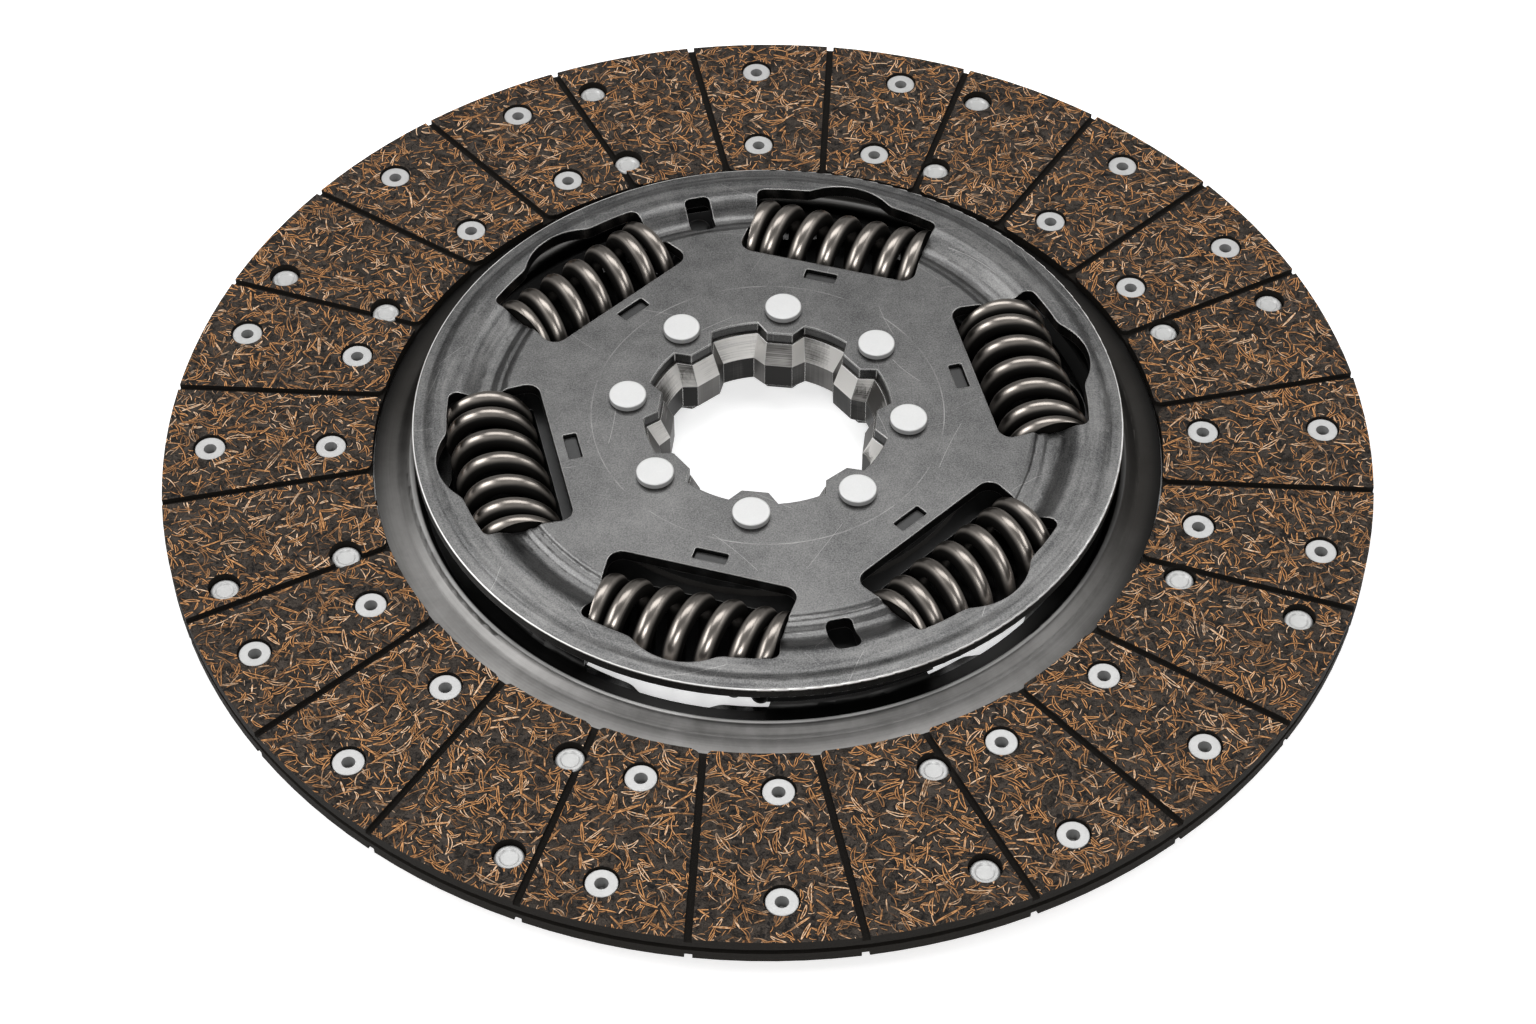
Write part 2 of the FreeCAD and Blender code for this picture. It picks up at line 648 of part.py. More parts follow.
def hub_ring():
    """Hub ring whose teeth open out in a tapered lead-in at the front and have a chamfer behind."""
    hub = Part.makeCylinder(HUB_OUTER_R, 2 * HUB_HALF_HEIGHT, Vector(0, 0, -HUB_HALF_HEIGHT))
    mouth = toothed_wire(
        HUB_MOUTH_TIP_R, HUB_MOUTH_TIP_HALF_ANGLE,
        HUB_MOUTH_ROOT_R, HUB_MOUTH_BASE_HALF_ANGLE, HUB_HALF_HEIGHT,
    )
    chamfer_top = HUB_CHAMFER - HUB_HALF_HEIGHT
    lead_in = Part.makeLoft([hub_wire(0, HUB_TAPER_END_Z), mouth], True, True)
    straight = Part.Face(hub_wire(0, chamfer_top)).extrude(
        Vector(0, 0, HUB_TAPER_END_Z - chamfer_top)
    )
    chamfer = Part.makeLoft(
        [hub_wire(HUB_CHAMFER, -HUB_HALF_HEIGHT), hub_wire(0, chamfer_top)], True, True
    )
    holes = round_holes(
        hub_rivet_places(), hub_rivet_hole_r(), -HUB_HALF_HEIGHT, HUB_HALF_HEIGHT
    )
    return hub.cut([lead_in, straight, chamfer] + holes)


def hub_rivets():
    """Headed on both sides, with a bevel under each head's edge."""
    face = COVER_FACE_Z
    top = MIDDLE_Z
    upper = [
        (HUB_RIVET_SHANK_R, face, 0),
        (HUB_RIVET_HEAD_R - HUB_RIVET_HEAD_BEVEL, face, 0),
        (HUB_RIVET_HEAD_R, face + HUB_RIVET_HEAD_BEVEL, 0),
        (HUB_RIVET_HEAD_R, top, HUB_RIVET_HEAD_ROUND),
        (0, top, 0),
    ]
    lower = [(r, -z, radius) for r, z, radius in upper]
    return set_at(revolved(lower[::-1] + upper), hub_rivet_places())


def spring_window():
    """Cover window about +X: waisted sides, round outer edge and a scallop in its middle."""
    low = 0.0
    high = COVER_FACE_Z + COVER_HUMP_RISE + CUT_MARGIN
    waist = SPRING_HALF_LENGTH + WINDOW_END_CLEARANCE
    shoulder = math.sqrt(WINDOW_OUTER_R ** 2 - WINDOW_OUTER_HALF_WIDTH ** 2)
    slope = (WINDOW_OUTER_HALF_WIDTH - waist) / (shoulder - WINDOW_WAIST)
    outside_half = waist + slope * (COVER_RIM_R - WINDOW_WAIST)
    sides = prism([
        (WINDOW_INNER, -WINDOW_INNER_HALF_WIDTH, WINDOW_INNER_CORNER_R),
        (WINDOW_WAIST, -waist, 0),
        (COVER_RIM_R, -outside_half, 0),
        (COVER_RIM_R, outside_half, 0),
        (WINDOW_WAIST, waist, 0),
        (WINDOW_INNER, WINDOW_INNER_HALF_WIDTH, WINDOW_INNER_CORNER_R),
    ], low, high)
    limit = Part.makeCylinder(WINDOW_OUTER_R, high - low, Vector(0, 0, low))
    scallop = Part.makeCylinder(SCALLOP_R, high - low, Vector(SPRING_AXIS_R, 0, low))
    window = sides.common(limit.fuse(scallop)).removeSplitter()
    window = window.makeFillet(WINDOW_OUTER_CORNER_R, upright_edges(
        window, lambda p: p.x > WINDOW_WAIST + TOLERANCE and abs(p.y) > SCALLOP_R
    ))
    return window.makeFillet(SCALLOP_BLEND_R, upright_edges(
        window, lambda p: abs(p.y) < SCALLOP_R and abs(math.hypot(p.x, p.y) - WINDOW_OUTER_R) < TOLERANCE
    ))


def tab_block(growth, low_z, high_z):
    """Block of one pressure-ring tab about +X, with a growth all round for its slot."""
    return block(
        TAB_CIRCLE_R - TAB_WIDTH / 2 - growth, TAB_CIRCLE_R + TAB_WIDTH / 2 + growth,
        TAB_LENGTH / 2 + growth, TAB_CORNER_R, low_z, high_z,
    )


def hole_wire(growth, z):
    """Outline of the cover's toothed hole, opened by a chamfer's growth."""
    return toothed_wire(
        COVER_HOLE_TIP_R + growth, COVER_HOLE_TIP_HALF_ANGLE,
        COVER_HOLE_ROOT_R + growth, COVER_HOLE_BASE_HALF_ANGLE, z,
    )


def front_cover():
    """Pressed cover: toothed hole, spring windows, tab slots, slots over two arms and a rolled rim."""
    face = COVER_FACE_Z
    valley_end = COVER_VALLEY_R + COVER_VALLEY_WIDTH
    hump_end = COVER_HUMP_R + COVER_HUMP_WIDTH
    body = revolved([
        (0, face, 0),
        (COVER_FLAT_R, face, COVER_FLAT_BEND),
        (COVER_STEP_R, face - COVER_STEP_DROP, COVER_STEP_BEND),
        (COVER_STEP_R + COVER_LEDGE_WIDTH, face - COVER_LEDGE_DROP, COVER_LEDGE_BEND),
        (COVER_VALLEY_R, face - COVER_VALLEY_DROP, COVER_VALLEY_INNER_BEND),
        (valley_end, face - COVER_VALLEY_DROP, COVER_VALLEY_OUTER_BEND),
        (COVER_HUMP_R, face + COVER_HUMP_RISE, COVER_HUMP_INNER_BEND),
        (hump_end, face + COVER_HUMP_RISE, COVER_HUMP_OUTER_BEND),
        (hump_end + COVER_CREASE_WIDTH, face + COVER_CREASE_RISE, COVER_CREASE_BEND),
        (COVER_RIM_R, face, COVER_RIM_ROUND),
        (COVER_RIM_R, COVER_RIM_UNDER_Z, COVER_RIM_UNDER_ROUND),
        (hump_end, COVER_UNDER_HUMP_Z, COVER_UNDER_HUMP_BEND),
        (COVER_HUMP_R + COVER_UNDER_HUMP_INSET, COVER_UNDER_HUMP_Z, COVER_UNDER_HUMP_BEND),
        (valley_end + COVER_UNDER_HUMP_INSET, COVER_UNDER_VALLEY_Z, COVER_UNDER_VALLEY_BEND),
        (COVER_VALLEY_R - COVER_UNDER_VALLEY_INSET, COVER_UNDER_VALLEY_Z, COVER_UNDER_VALLEY_BEND),
        (COVER_FLAT_R - COVER_UNDER_VALLEY_INSET, HUB_HALF_HEIGHT, COVER_UNDER_HUMP_BEND),
        (0, HUB_HALF_HEIGHT, 0),
    ])
    low = 0.0
    high = face + COVER_HUMP_RISE + CUT_MARGIN
    hole = Part.Face(hole_wire(0, low)).extrude(Vector(0, 0, high - low))
    chamfer = Part.makeLoft(
        [hole_wire(0, face - COVER_HOLE_CHAMFER), hole_wire(COVER_HOLE_CHAMFER, face)], True, True
    )
    window = spring_window()
    slot = tab_block(TAB_CLEARANCE, low, high)
    tools = [hole, chamfer]
    for index in range(SPRING_COUNT):
        angle = SPRING_ANGLE + index * SPRING_PITCH
        tools += [turned(window, angle), turned(slot, angle)]
    outer_slot = block(
        OUTER_SLOT_INNER_R, OUTER_SLOT_OUTER_R, OUTER_SLOT_WIDTH / 2, OUTER_SLOT_CORNER_R, low, high
    )
    tools += [turned(outer_slot, angle) for angle in OUTER_SLOT_ANGLES]
    tools += round_holes(hub_rivet_places(), hub_rivet_hole_r(), low, high)
    return body.cut(tools)


def front_friction_ring():
    bottom = DRIVE_HALF + FRICTION_RING_CLEARANCE
    return ring(RING_INNER_R, RING_OUTER_R, bottom, bottom + FRICTION_RING_THICKNESS)


def front_pressure_ring():
    """Ring that the cover holds by six tabs."""
    bottom = DRIVE_HALF + FRICTION_RING_CLEARANCE + FRICTION_RING_THICKNESS
    body = ring(RING_INNER_R, RING_OUTER_R, bottom, HUB_HALF_HEIGHT)
    tab = tab_block(0, bottom, COVER_FACE_Z - TAB_RECESS)
    return body.fuse([
        turned(tab, SPRING_ANGLE + index * SPRING_PITCH) for index in range(SPRING_COUNT)
    ]).removeSplitter()


def all_nodes():
    """Every piece by the name of its node."""
    front = front_cover()
    pressure = front_pressure_ring()
    friction = front_friction_ring()
    nodes = {
        "hub_ring": hub_ring(),
        "hub_rivets": hub_rivets(),
        "front_cover": front,
        "rear_cover": mirrored(front),
        "front_pressure_ring": pressure,
        "rear_pressure_ring": mirrored(pressure),
        "front_friction_ring": friction,
        "rear_friction_ring": mirrored(friction),
        "drive_plate": drive_plate(),
        "carrier_disc": carrier_disc(),
        "arm_rivets": arm_rivets(),
        "front_facing": front_facing(),
        "rear_facing": rear_facing(),
        "front_facing_rivets": front_facing_rivets(),
        "rear_facing_rivets": rear_facing_rivets(),
    }
    segment = cushion_segment()
    for index in range(GROUP_COUNT):
        nodes[f"cushion_segment_{index + 1}"] = turned(segment, index * GROUP_PITCH)
    spring = damper_spring()
    for index in range(SPRING_COUNT):
        nodes[f"damper_spring_{index + 1}"] = turned(spring, SPRING_ANGLE + index * SPRING_PITCH)
    return nodes


os.makedirs("parts", exist_ok=True)
for name, shape in all_nodes().items():
    shape.translate(Vector(0, 0, MIDDLE_Z))
    shape.exportStep(f"parts/{name}.step")
    print(name, shape.isValid(), len(shape.Solids), len(shape.Faces), round(shape.Volume, 1))
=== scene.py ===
"""Looks of the clutch disc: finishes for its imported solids, the studio around it and the camera."""

import logging
import math
from dataclasses import dataclass
from enum import Enum
from typing import Union

import bmesh
import bpy
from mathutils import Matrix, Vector


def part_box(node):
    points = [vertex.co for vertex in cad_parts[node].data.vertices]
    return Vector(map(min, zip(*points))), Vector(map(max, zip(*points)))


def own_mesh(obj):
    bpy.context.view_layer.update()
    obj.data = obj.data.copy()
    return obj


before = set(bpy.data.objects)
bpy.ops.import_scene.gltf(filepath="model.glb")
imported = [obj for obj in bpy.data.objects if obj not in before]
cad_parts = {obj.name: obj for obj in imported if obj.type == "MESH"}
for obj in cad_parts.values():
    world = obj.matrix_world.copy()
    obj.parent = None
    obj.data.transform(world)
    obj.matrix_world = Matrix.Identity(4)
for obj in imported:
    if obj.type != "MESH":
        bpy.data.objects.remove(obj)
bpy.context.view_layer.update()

LOG = logging.getLogger("clutch_disc")
Colour = tuple[float, float, float]
Point = tuple[float, float, float]
Span = tuple[float, float]
Socket = bpy.types.NodeSocket

MM = 0.001
FULL_TURN = 360.0
NOISE_MIDDLE = 0.5
WHITE: Colour = (1.0, 1.0, 1.0)
# Near black for painted shade.
SHADE_BLACK: Colour = (0.008, 0.008, 0.008)
SCRATCH_PALE: Colour = (0.5, 0.49, 0.48)

# Colour sockets of the Mix node, whose names repeat for each type of data.
MIX_SHARE, MIX_FIRST, MIX_SECOND, MIX_RESULT = 0, 6, 7, 2

# Cosines between the rounded and the plain normal where an edge's pale colour (edge wear and a
# painted highlight) is full and where it ends.
EDGE_LIKENESS: Span = (0.86, 0.995)
BEVEL_SAMPLES = 4


class Field:
    """A value socket that takes part in plain arithmetic."""

    def __init__(self, tree: "NodeTree", socket: Socket) -> None:
        """Wrap one output socket of a node tree."""
        self.tree = tree
        self.socket = socket

    def _joined(self, operation: str, first: "Number", second: "Number" = 0.0) -> "Field":
        """Add a Math node on two numbers and wrap its result."""
        return self.tree.field("ShaderNodeMath", {"operation": operation}, {0: first, 1: second})

    def __add__(self, other: "Number") -> "Field":
        """Sum."""
        return self._joined("ADD", self, other)

    def __radd__(self, other: "Number") -> "Field":
        """Sum with a plain number first."""
        return self._joined("ADD", other, self)

    def __sub__(self, other: "Number") -> "Field":
        """Difference."""
        return self._joined("SUBTRACT", self, other)

    def __rsub__(self, other: "Number") -> "Field":
        """Difference with a plain number first."""
        return self._joined("SUBTRACT", other, self)

    def __mul__(self, other: "Number") -> "Field":
        """Product."""
        return self._joined("MULTIPLY", self, other)

    def __rmul__(self, other: "Number") -> "Field":
        """Product with a plain number first."""
        return self._joined("MULTIPLY", other, self)

    def __truediv__(self, other: "Number") -> "Field":
        """Quotient."""
        return self._joined("DIVIDE", self, other)

    def __rtruediv__(self, other: "Number") -> "Field":
        """Quotient with a plain number first."""
        return self._joined("DIVIDE", other, self)

    def __pow__(self, other: "Number") -> "Field":
        """Power."""
        return self._joined("POWER", self, other)

    def __rpow__(self, other: "Number") -> "Field":
        """Power with a plain number first."""
        return self._joined("POWER", other, self)

    def __neg__(self) -> "Field":
        """The same size with the other sign."""
        return self * -1.0

    def __abs__(self) -> "Field":
        """Size without its sign."""
        return self._joined("ABSOLUTE", self)

    def cosine(self) -> "Field":
        """Cosine of an angle in radians."""
        return self._joined("COSINE", self)

    def sine(self) -> "Field":
        """Sine of an angle in radians."""
        return self._joined("SINE", self)

    def rounded(self) -> "Field":
        """The nearest whole number."""
        return self._joined("ROUND", self)

    def angle_from(self, other: "Field") -> "Field":
        """Angle of the point (other, self) about the origin."""
        return self._joined("ARCTAN2", self, other)

    def at_most(self, limit: "Number") -> "Field":
        """The smaller of the two."""
        return self._joined("MINIMUM", self, limit)

    def at_least(self, limit: "Number") -> "Field":
        """The larger of the two."""
        return self._joined("MAXIMUM", self, limit)

    def swing(self, strength: "Number") -> "Field":
        """A noise's swing about zero, of a given strength."""
        return (self - NOISE_MIDDLE) * strength

    def rise(self, low: float, high: float) -> "Field":
        """Smooth step from 0 to 1.

        Args:
            low: Where it is 0.
            high: Where it is 1.

        Returns:
            The step's field.
        """
        return self.tree.field(
            "ShaderNodeMapRange",
            {"interpolation_type": "SMOOTHSTEP"},
            {"Value": self, "From Min": low, "From Max": high},
        )

    def fall(self, low: float, high: float) -> "Field":
        """Smooth step from 1 at low to 0 at high."""
        return 1.0 - self.rise(low, high)

    def between(self, low: float, high: float, soft: float) -> "Field":
        """1 between two limits, with edges that fade over a soft width on either side."""
        return self.rise(low - soft, low + soft) * self.fall(high - soft, high + soft)


Number = Union[Field, float]


class Blend(Enum):
    """How a second colour is laid on a first one."""

    OVER = "MIX"
    SHADE = "MULTIPLY"


class NodeTree:
    """A node tree whose nodes all come from one method."""

    def __init__(self, tree: bpy.types.NodeTree) -> None:
        """Take over a tree and empty it."""
        self.tree = tree
        self.tree.nodes.clear()

    def node(
        self, kind: str, settings: dict | None = None, sockets: dict | None = None
    ) -> bpy.types.Node:
        """Add a node.

        Args:
            kind: The node's type.
            settings: Its properties, which are set first.
            sockets: Values or links of its inputs, by name or index.

        Returns:
            The new node.
        """
        made = self.tree.nodes.new(kind)
        for name, value in (settings or {}).items():
            setattr(made, name, value)
        for name, value in (sockets or {}).items():
            self.feed(made.inputs[name], value)
        return made

    def feed(self, socket: Socket, value: object) -> None:
        """Give an input its link or its plain value.

        Args:
            socket: The input.
            value: A field, a socket, a colour, a vector or a number.
        """
        if isinstance(value, Field):
            self.tree.links.new(value.socket, socket)
        elif isinstance(value, Socket):
            self.tree.links.new(value, socket)
        elif isinstance(value, tuple) and socket.type == "RGBA":
            socket.default_value = (*value, 1.0)
        else:
            socket.default_value = value

    def field(
        self, kind: str, settings: dict, sockets: dict, output: Union[str, int] = 0
    ) -> Field:
        """Add a node and wrap one of its value outputs."""
        return Field(self, self.node(kind, settings, sockets).outputs[output])


class Recipe(NodeTree):
    """One material's nodes around a Principled shader."""

    def __init__(self, name: str) -> None:
        """Start a material of that name."""
        self.material = bpy.data.materials.new(name)
        self.material.use_nodes = True
        super().__init__(self.material.node_tree)
        self.shader = self.node("ShaderNodeBsdfPrincipled")
        self.output = self.node("ShaderNodeOutputMaterial", {}, {"Surface": self.shader.outputs[0]})
        self.coordinates = self.node("ShaderNodeTexCoord").outputs["Object"]

    def dress(self, **inputs: object) -> bpy.types.Material:
        """Feed the Principled shader.

        Args:
            **inputs: Values or links of its inputs, named with underscores.

        Returns:
            The finished material.
        """
        for name, value in inputs.items():
            label = name.replace("_", " ").title().replace("Ior", "IOR")
            self.feed(self.shader.inputs[label], value)
        return self.material

    def place(self, size: float, turn: float = 0.0, shift: Point = (0.0, 0.0, 0.0)) -> Socket:
        """Object coordinates, counted in steps of a size.

        Args:
            size: One step in metres.
            turn: Turn about Z in radians.
            shift: Shift in steps.

        Returns:
            The vector's socket.
        """
        sockets = {
            "Vector": self.coordinates,
            "Location": shift,
            "Rotation": (0.0, 0.0, turn),
            "Scale": (1.0 / size,) * 3,
        }
        return self.node("ShaderNodeMapping", {}, sockets).outputs[0]

    def parts(self, vector: Socket) -> tuple[Field, Field, Field]:
        """The three components of a vector socket."""
        split = self.node("ShaderNodeSeparateXYZ", {}, {0: vector}).outputs
        return Field(self, split[0]), Field(self, split[1]), Field(self, split[2])

    def joined(self, *parts: Number) -> Socket:
        """Vector made of three values."""
        return self.node("ShaderNodeCombineXYZ", {}, dict(enumerate(parts))).outputs[0]

    def spot(self) -> tuple[Field, Field, Field]:
        """Object coordinates in metres."""
        return self.parts(self.coordinates)

    def around(self) -> tuple[Field, Field, Field]:
        """Radius from Z in metres, angle about Z in radians and height in metres."""
        right, ahead, up = self.spot()
        return (right * right + ahead * ahead) ** 0.5, ahead.angle_from(right), up

    def flat_normal(self) -> tuple[Field, Field, Field]:
        """The three components of the true surface's normal."""
        return self.parts(self.node("ShaderNodeNewGeometry").outputs["True Normal"])

    def facing_up(self) -> Field:
        """How far the true surface points up or down, from 0 to 1."""
        return abs(self.flat_normal()[2])

    def noise(
        self, vector: Socket, detail: float, rough: float, warp: float = 0.0, scale: float = 1.0
    ) -> Field:
        """Fractal noise.

        Args:
            vector: The place at which it is read.
            detail: How many finer layers it has.
            rough: How strong the finer layers are.
            warp: How strongly it is distorted.
            scale: How many steps of the noise one step of the place holds.

        Returns:
            A value from 0 to 1 whose middle is NOISE_MIDDLE.
        """
        sockets = {
            "Vector": vector,
            "Scale": scale,
            "Detail": detail,
            "Roughness": rough,
            "Distortion": warp,
        }
        return self.field("ShaderNodeTexNoise", {}, sockets, "Fac")

    def edges(self, radius: float) -> tuple[Field, Socket]:
        """Find the sharp edges.

        Args:
            radius: How far from an edge it is still found, in metres.

        Returns:
            How near the surface is to an edge, and the normal that rounds that edge.
        """
        bevel = self.node("ShaderNodeBevel", {"samples": BEVEL_SAMPLES}, {"Radius": radius})
        round_normal = bevel.outputs[0]
        plain_normal = self.node("ShaderNodeNewGeometry").outputs["Normal"]
        likeness = self.field(
            "ShaderNodeVectorMath",
            {"operation": "DOT_PRODUCT"},
            {0: round_normal, 1: plain_normal},
            "Value",
        )
        return likeness.fall(*EDGE_LIKENESS), round_normal

    def mix(
        self, share: Number, first: object, second: object, blend: Blend = Blend.OVER
    ) -> Socket:
        """Blend two colours.

        Args:
            share: How much of the second one shows, from 0 to 1.
            first: A colour or its socket.
            second: A colour or its socket.
            blend: How the second one is laid on the first.

        Returns:
            The blended colour's socket.
        """
        settings = {"data_type": "RGBA", "blend_type": blend.value}
        sockets = {MIX_SHARE: share, MIX_FIRST: first, MIX_SECOND: second}
        return self.node("ShaderNodeMix", settings, sockets).outputs[MIX_RESULT]

    def bump(
        self, height: Field, distance: float, strength: float = 1.0, normal: Socket | None = None
    ) -> Socket:
        """Normal of a bumped surface.

        Args:
            height: Height from 0 to 1.
            distance: What a height of 1 measures, in metres.
            strength: Share of the bump that shows.
            normal: Normal to start from, if not the surface's own.

        Returns:
            The bumped normal's socket.
        """
        sockets = {"Height": height, "Distance": distance, "Strength": strength}
        if normal is not None:
            sockets["Normal"] = normal
        return self.node("ShaderNodeBump", {}, sockets).outputs[0]


@dataclass(frozen=True)
class Mottle:
    """Patches of fractal noise, of a size in metres, turned about Z and shifted in patches."""

    size: float
    detail: float = 3.0
    rough: float = 0.55
    warp: float = 0.0
    turn: float = 0.0
    shift: Point = (0.0, 0.0, 0.0)

    def on(self, recipe: Recipe) -> Field:
        """Lay the patches on a material."""
        place = recipe.place(self.size, self.turn, self.shift)
        return recipe.noise(place, self.detail, self.rough, self.warp)


@dataclass(frozen=True)
class Arcs:
    """Noise drawn out into arcs about Z, of a width across and a length along in metres."""

    across: float
    along: float
    detail: float = 3.0
    rough: float = 0.6

    def on(self, recipe: Recipe) -> Field:
        """Lay the arcs on a material.

        Args:
            recipe: The material.

        Returns:
            The arcs' field.
        """
        right, ahead, _ = recipe.spot()
        radius = recipe.around()[0]
        place = recipe.joined(radius / self.across, right / self.along, ahead / self.along)
        return recipe.noise(place, self.detail, self.rough)


@dataclass(frozen=True)
class ToolLines:
    """Noise of one size in the disc's plane and another along Z, in metres."""

    level: float
    upright: float
    detail: float = 3.0
    rough: float = 0.7

    def on(self, recipe: Recipe) -> Field:
        """Lay the lines on a material.

        Args:
            recipe: The material.

        Returns:
            The lines' field.
        """
        right, ahead, up = recipe.spot()
        place = recipe.joined(right / self.level, ahead / self.level, up / self.upright)
        return recipe.noise(place, self.detail, self.rough)


@dataclass(frozen=True)
class Strands:
    """One layer of short curved strands, one in each cell of a scattered pattern.

    The cell and half a strand's width are in metres, and its reach is half its length as a share
    of the cell. The curl bends it, and the seed turns and shifts the pattern. A pair gap, half the
    widest gap in metres, makes each strand two lines that meet at their tips. A flow size, in
    metres, lays neighbours about one way.
    """

    cell: float
    width: float
    reach: float
    curl: float
    seed: float
    pair_gap: float = 0.0
    flow_size: float = 0.0
    scatter: float = 0.7
    seed_turn: float = 0.7
    seed_shift: Span = (7.31, 3.17)
    flow_detail: float = 1.0
    flow_rough: float = 0.5
    flow_turns: float = 2.2
    flow_spread: float = 1.5
    gap_draws: Span = (0.25, 0.8)
    core: float = 0.5
    tip: float = 0.85
    beside: Span = (1.3, 2.6)

    def heading(self, recipe: Recipe, centre: Socket, draw: Field) -> Field:
        """Choose the way in which each strand lies.

        Args:
            recipe: The material.
            centre: The middle of the strand's cell.
            draw: A random number for each cell.

        Returns:
            The angle in radians.
        """
        if self.flow_size <= 0:
            return draw * math.tau
        steps = self.cell / self.flow_size
        flow = recipe.noise(centre, self.flow_detail, self.flow_rough, scale=steps)
        return flow * (self.flow_turns * math.tau) + draw.swing(self.flow_spread)

    def on(self, recipe: Recipe) -> tuple[Field, Field, Field]:
        """Lay the strands on a material.

        Args:
            recipe: The material.

        Returns:
            The strands' mask, the mask of a painted shadow beside them and a random number for each.
        """
        shift = (self.seed * self.seed_shift[0], self.seed * self.seed_shift[1], 0.0)
        plane = recipe.place(self.cell, self.seed * self.seed_turn, shift)
        cells = recipe.node(
            "ShaderNodeTexVoronoi",
            {"voronoi_dimensions": "2D"},
            {"Vector": plane, "Scale": 1.0, "Randomness": self.scatter},
        )
        centre = cells.outputs["Position"]
        subtract = {"operation": "SUBTRACT"}
        offset = recipe.node("ShaderNodeVectorMath", subtract, {0: plane, 1: centre})
        right, ahead, _ = recipe.parts(offset.outputs[0])
        draws = recipe.node("ShaderNodeSeparateColor", {}, {0: cells.outputs["Color"]}).outputs
        first, second, tint = (Field(recipe, draws[index]) for index in range(3))
        turn = self.heading(recipe, centre, first)
        along = right * turn.cosine() + ahead * turn.sine()
        bend = second.swing(self.curl) * along * along
        away = abs(ahead * turn.cosine() - right * turn.sine() + bend)
        if self.pair_gap > 0:
            bow = 1.0 - along * along / (self.reach * self.reach)
            gap = second.rise(*self.gap_draws) * (self.pair_gap / self.cell) * bow
            away = abs(away - gap.at_least(0.0))
        thin = self.width / self.cell
        ends = abs(along).fall(self.reach * self.tip, self.reach)
        body = away.fall(thin * self.core, thin) * ends
        beside = away.fall(thin * self.beside[0], thin * self.beside[1]) * ends
        return body, beside, tint


class Mark:
    """Something drawn over a finish's colour."""

    def over(self, recipe: Recipe, colour: Socket) -> Socket:
        """Draw the mark over a colour and return the result."""
        raise NotImplementedError


@dataclass(frozen=True)
class Scratches(Mark):
    """Pale scratches of two lengths, which a share of the cells have."""

    share: float
    strength: float = 0.6
    layers: tuple[Strands, ...] = (
        Strands(cell=30.0 * MM, width=0.1 * MM, reach=0.42, curl=0.5, seed=1.3),
        Strands(cell=19.0 * MM, width=0.1 * MM, reach=0.42, curl=0.5, seed=2.9),
    )

    def over(self, recipe: Recipe, colour: Socket) -> Socket:
        """Draw the scratches.

        Args:
            recipe: The material.
            colour: The colour below.

        Returns:
            The scratched colour.
        """
        for layer in self.layers:
            line, _, draw = layer.on(recipe)
            shown = line * draw.rise(1.0 - self.share, 1.0) * self.strength
            colour = recipe.mix(shown, colour, SCRATCH_PALE)
        return colour


@dataclass(frozen=True)
class ScribedCircle(Mark):
    """A fine pale circle about Z, worn away in places."""

    radius: float
    line: Span = (0.08 * MM, 0.3 * MM)
    strength: float = 0.45
    wear_and_highlight: Mottle = Mottle(17.0 * MM, detail=2.0, turn=1.1)
    rubbed_span: Span = (0.36, 0.62)

    def over(self, recipe: Recipe, colour: Socket) -> Socket:
        """Draw the circle.

        Args:
            recipe: The material.
            colour: The colour below.

        Returns:
            The colour with the circle.
        """
        off_line = abs(recipe.around()[0] - self.radius)
        left = self.wear_and_highlight.on(recipe).rise(*self.rubbed_span)
        return recipe.mix(off_line.fall(*self.line) * left * self.strength, colour, SCRATCH_PALE)


@dataclass(frozen=True)
class SideShade(Mark):
    """Painted shade on one side of a ring, with a painted shadow that is darkest at the ring's rim.
    """

    turn: float
    strength: float
    rim_radius: float
    rim_width: float = 6.5 * MM
    rim_strength: float = 0.9
    side_span: Span = (-0.95, 0.0)
    colour: Colour = (0.012, 0.0105, 0.009)

    def over(self, recipe: Recipe, colour: Socket) -> Socket:
        """Paint the shade.

        Args:
            recipe: The material.
            colour: The colour below.

        Returns:
            The shaded colour.
        """
        radius, turn, _ = recipe.around()
        side_shade = (turn - self.turn).cosine().rise(*self.side_span) * self.strength
        rim = radius.rise(self.rim_radius - self.rim_width, self.rim_radius) * self.rim_strength
        return recipe.mix(side_shade * rim, recipe.mix(side_shade, colour, self.colour), SHADE_BLACK)


@dataclass(frozen=True)
class ShadedInside(Mark):
    """Painted shade, near black, on everything within a radius of Z."""

    radius: float
    soft: float = 0.3 * MM
    strength: float = 0.93

    def over(self, recipe: Recipe, colour: Socket) -> Socket:
        """Paint the shade over a colour."""
        inside = recipe.around()[0].fall(self.radius - self.soft, self.radius + self.soft)
        return recipe.mix(inside * self.strength, colour, SHADE_BLACK)


@dataclass(frozen=True)
class HighlightRing:
    """A painted highlight: a bright line along a circle about Z, where a crest or rim catches the
    light.
    """

    radius: float
    width: float = 0.3 * MM
    core: float = 0.4
    colour: Colour = (0.95, 0.94, 0.92)
    metal_loss: float = 0.7
    dullest: float = 0.65
    glint: Arcs = Arcs(across=3.0 * MM, along=25.0 * MM)
    glint_span: Span = (0.25, 0.6)

    def mask(self, recipe: Recipe) -> Field:
        """Find the ring on a material.

        Args:
            recipe: The material.

        Returns:
            How strong the painted highlight is, from 0 to 1.
        """
        glint = self.glint.on(recipe).rise(*self.glint_span) * (1.0 - self.dullest) + self.dullest
        off_ring = abs(recipe.around()[0] - self.radius)
        return off_ring.fall(self.core * self.width, self.width) * glint


@dataclass(frozen=True)
class ArcSmudges:
    """Smudges in arcs about Z, outside a radius."""

    inner: float
    strength: float
    fade: Span = (-2.0 * MM, 4.0 * MM)
    arcs: Arcs = Arcs(across=2.6 * MM, along=34.0 * MM, detail=4.0, rough=0.65)

    def on(self, recipe: Recipe) -> Field:
        """Lay the smudges on a material, swinging about zero."""
        band = recipe.around()[0].rise(self.inner + self.fade[0], self.inner + self.fade[1])
        return self.arcs.on(recipe).swing(self.strength) * band


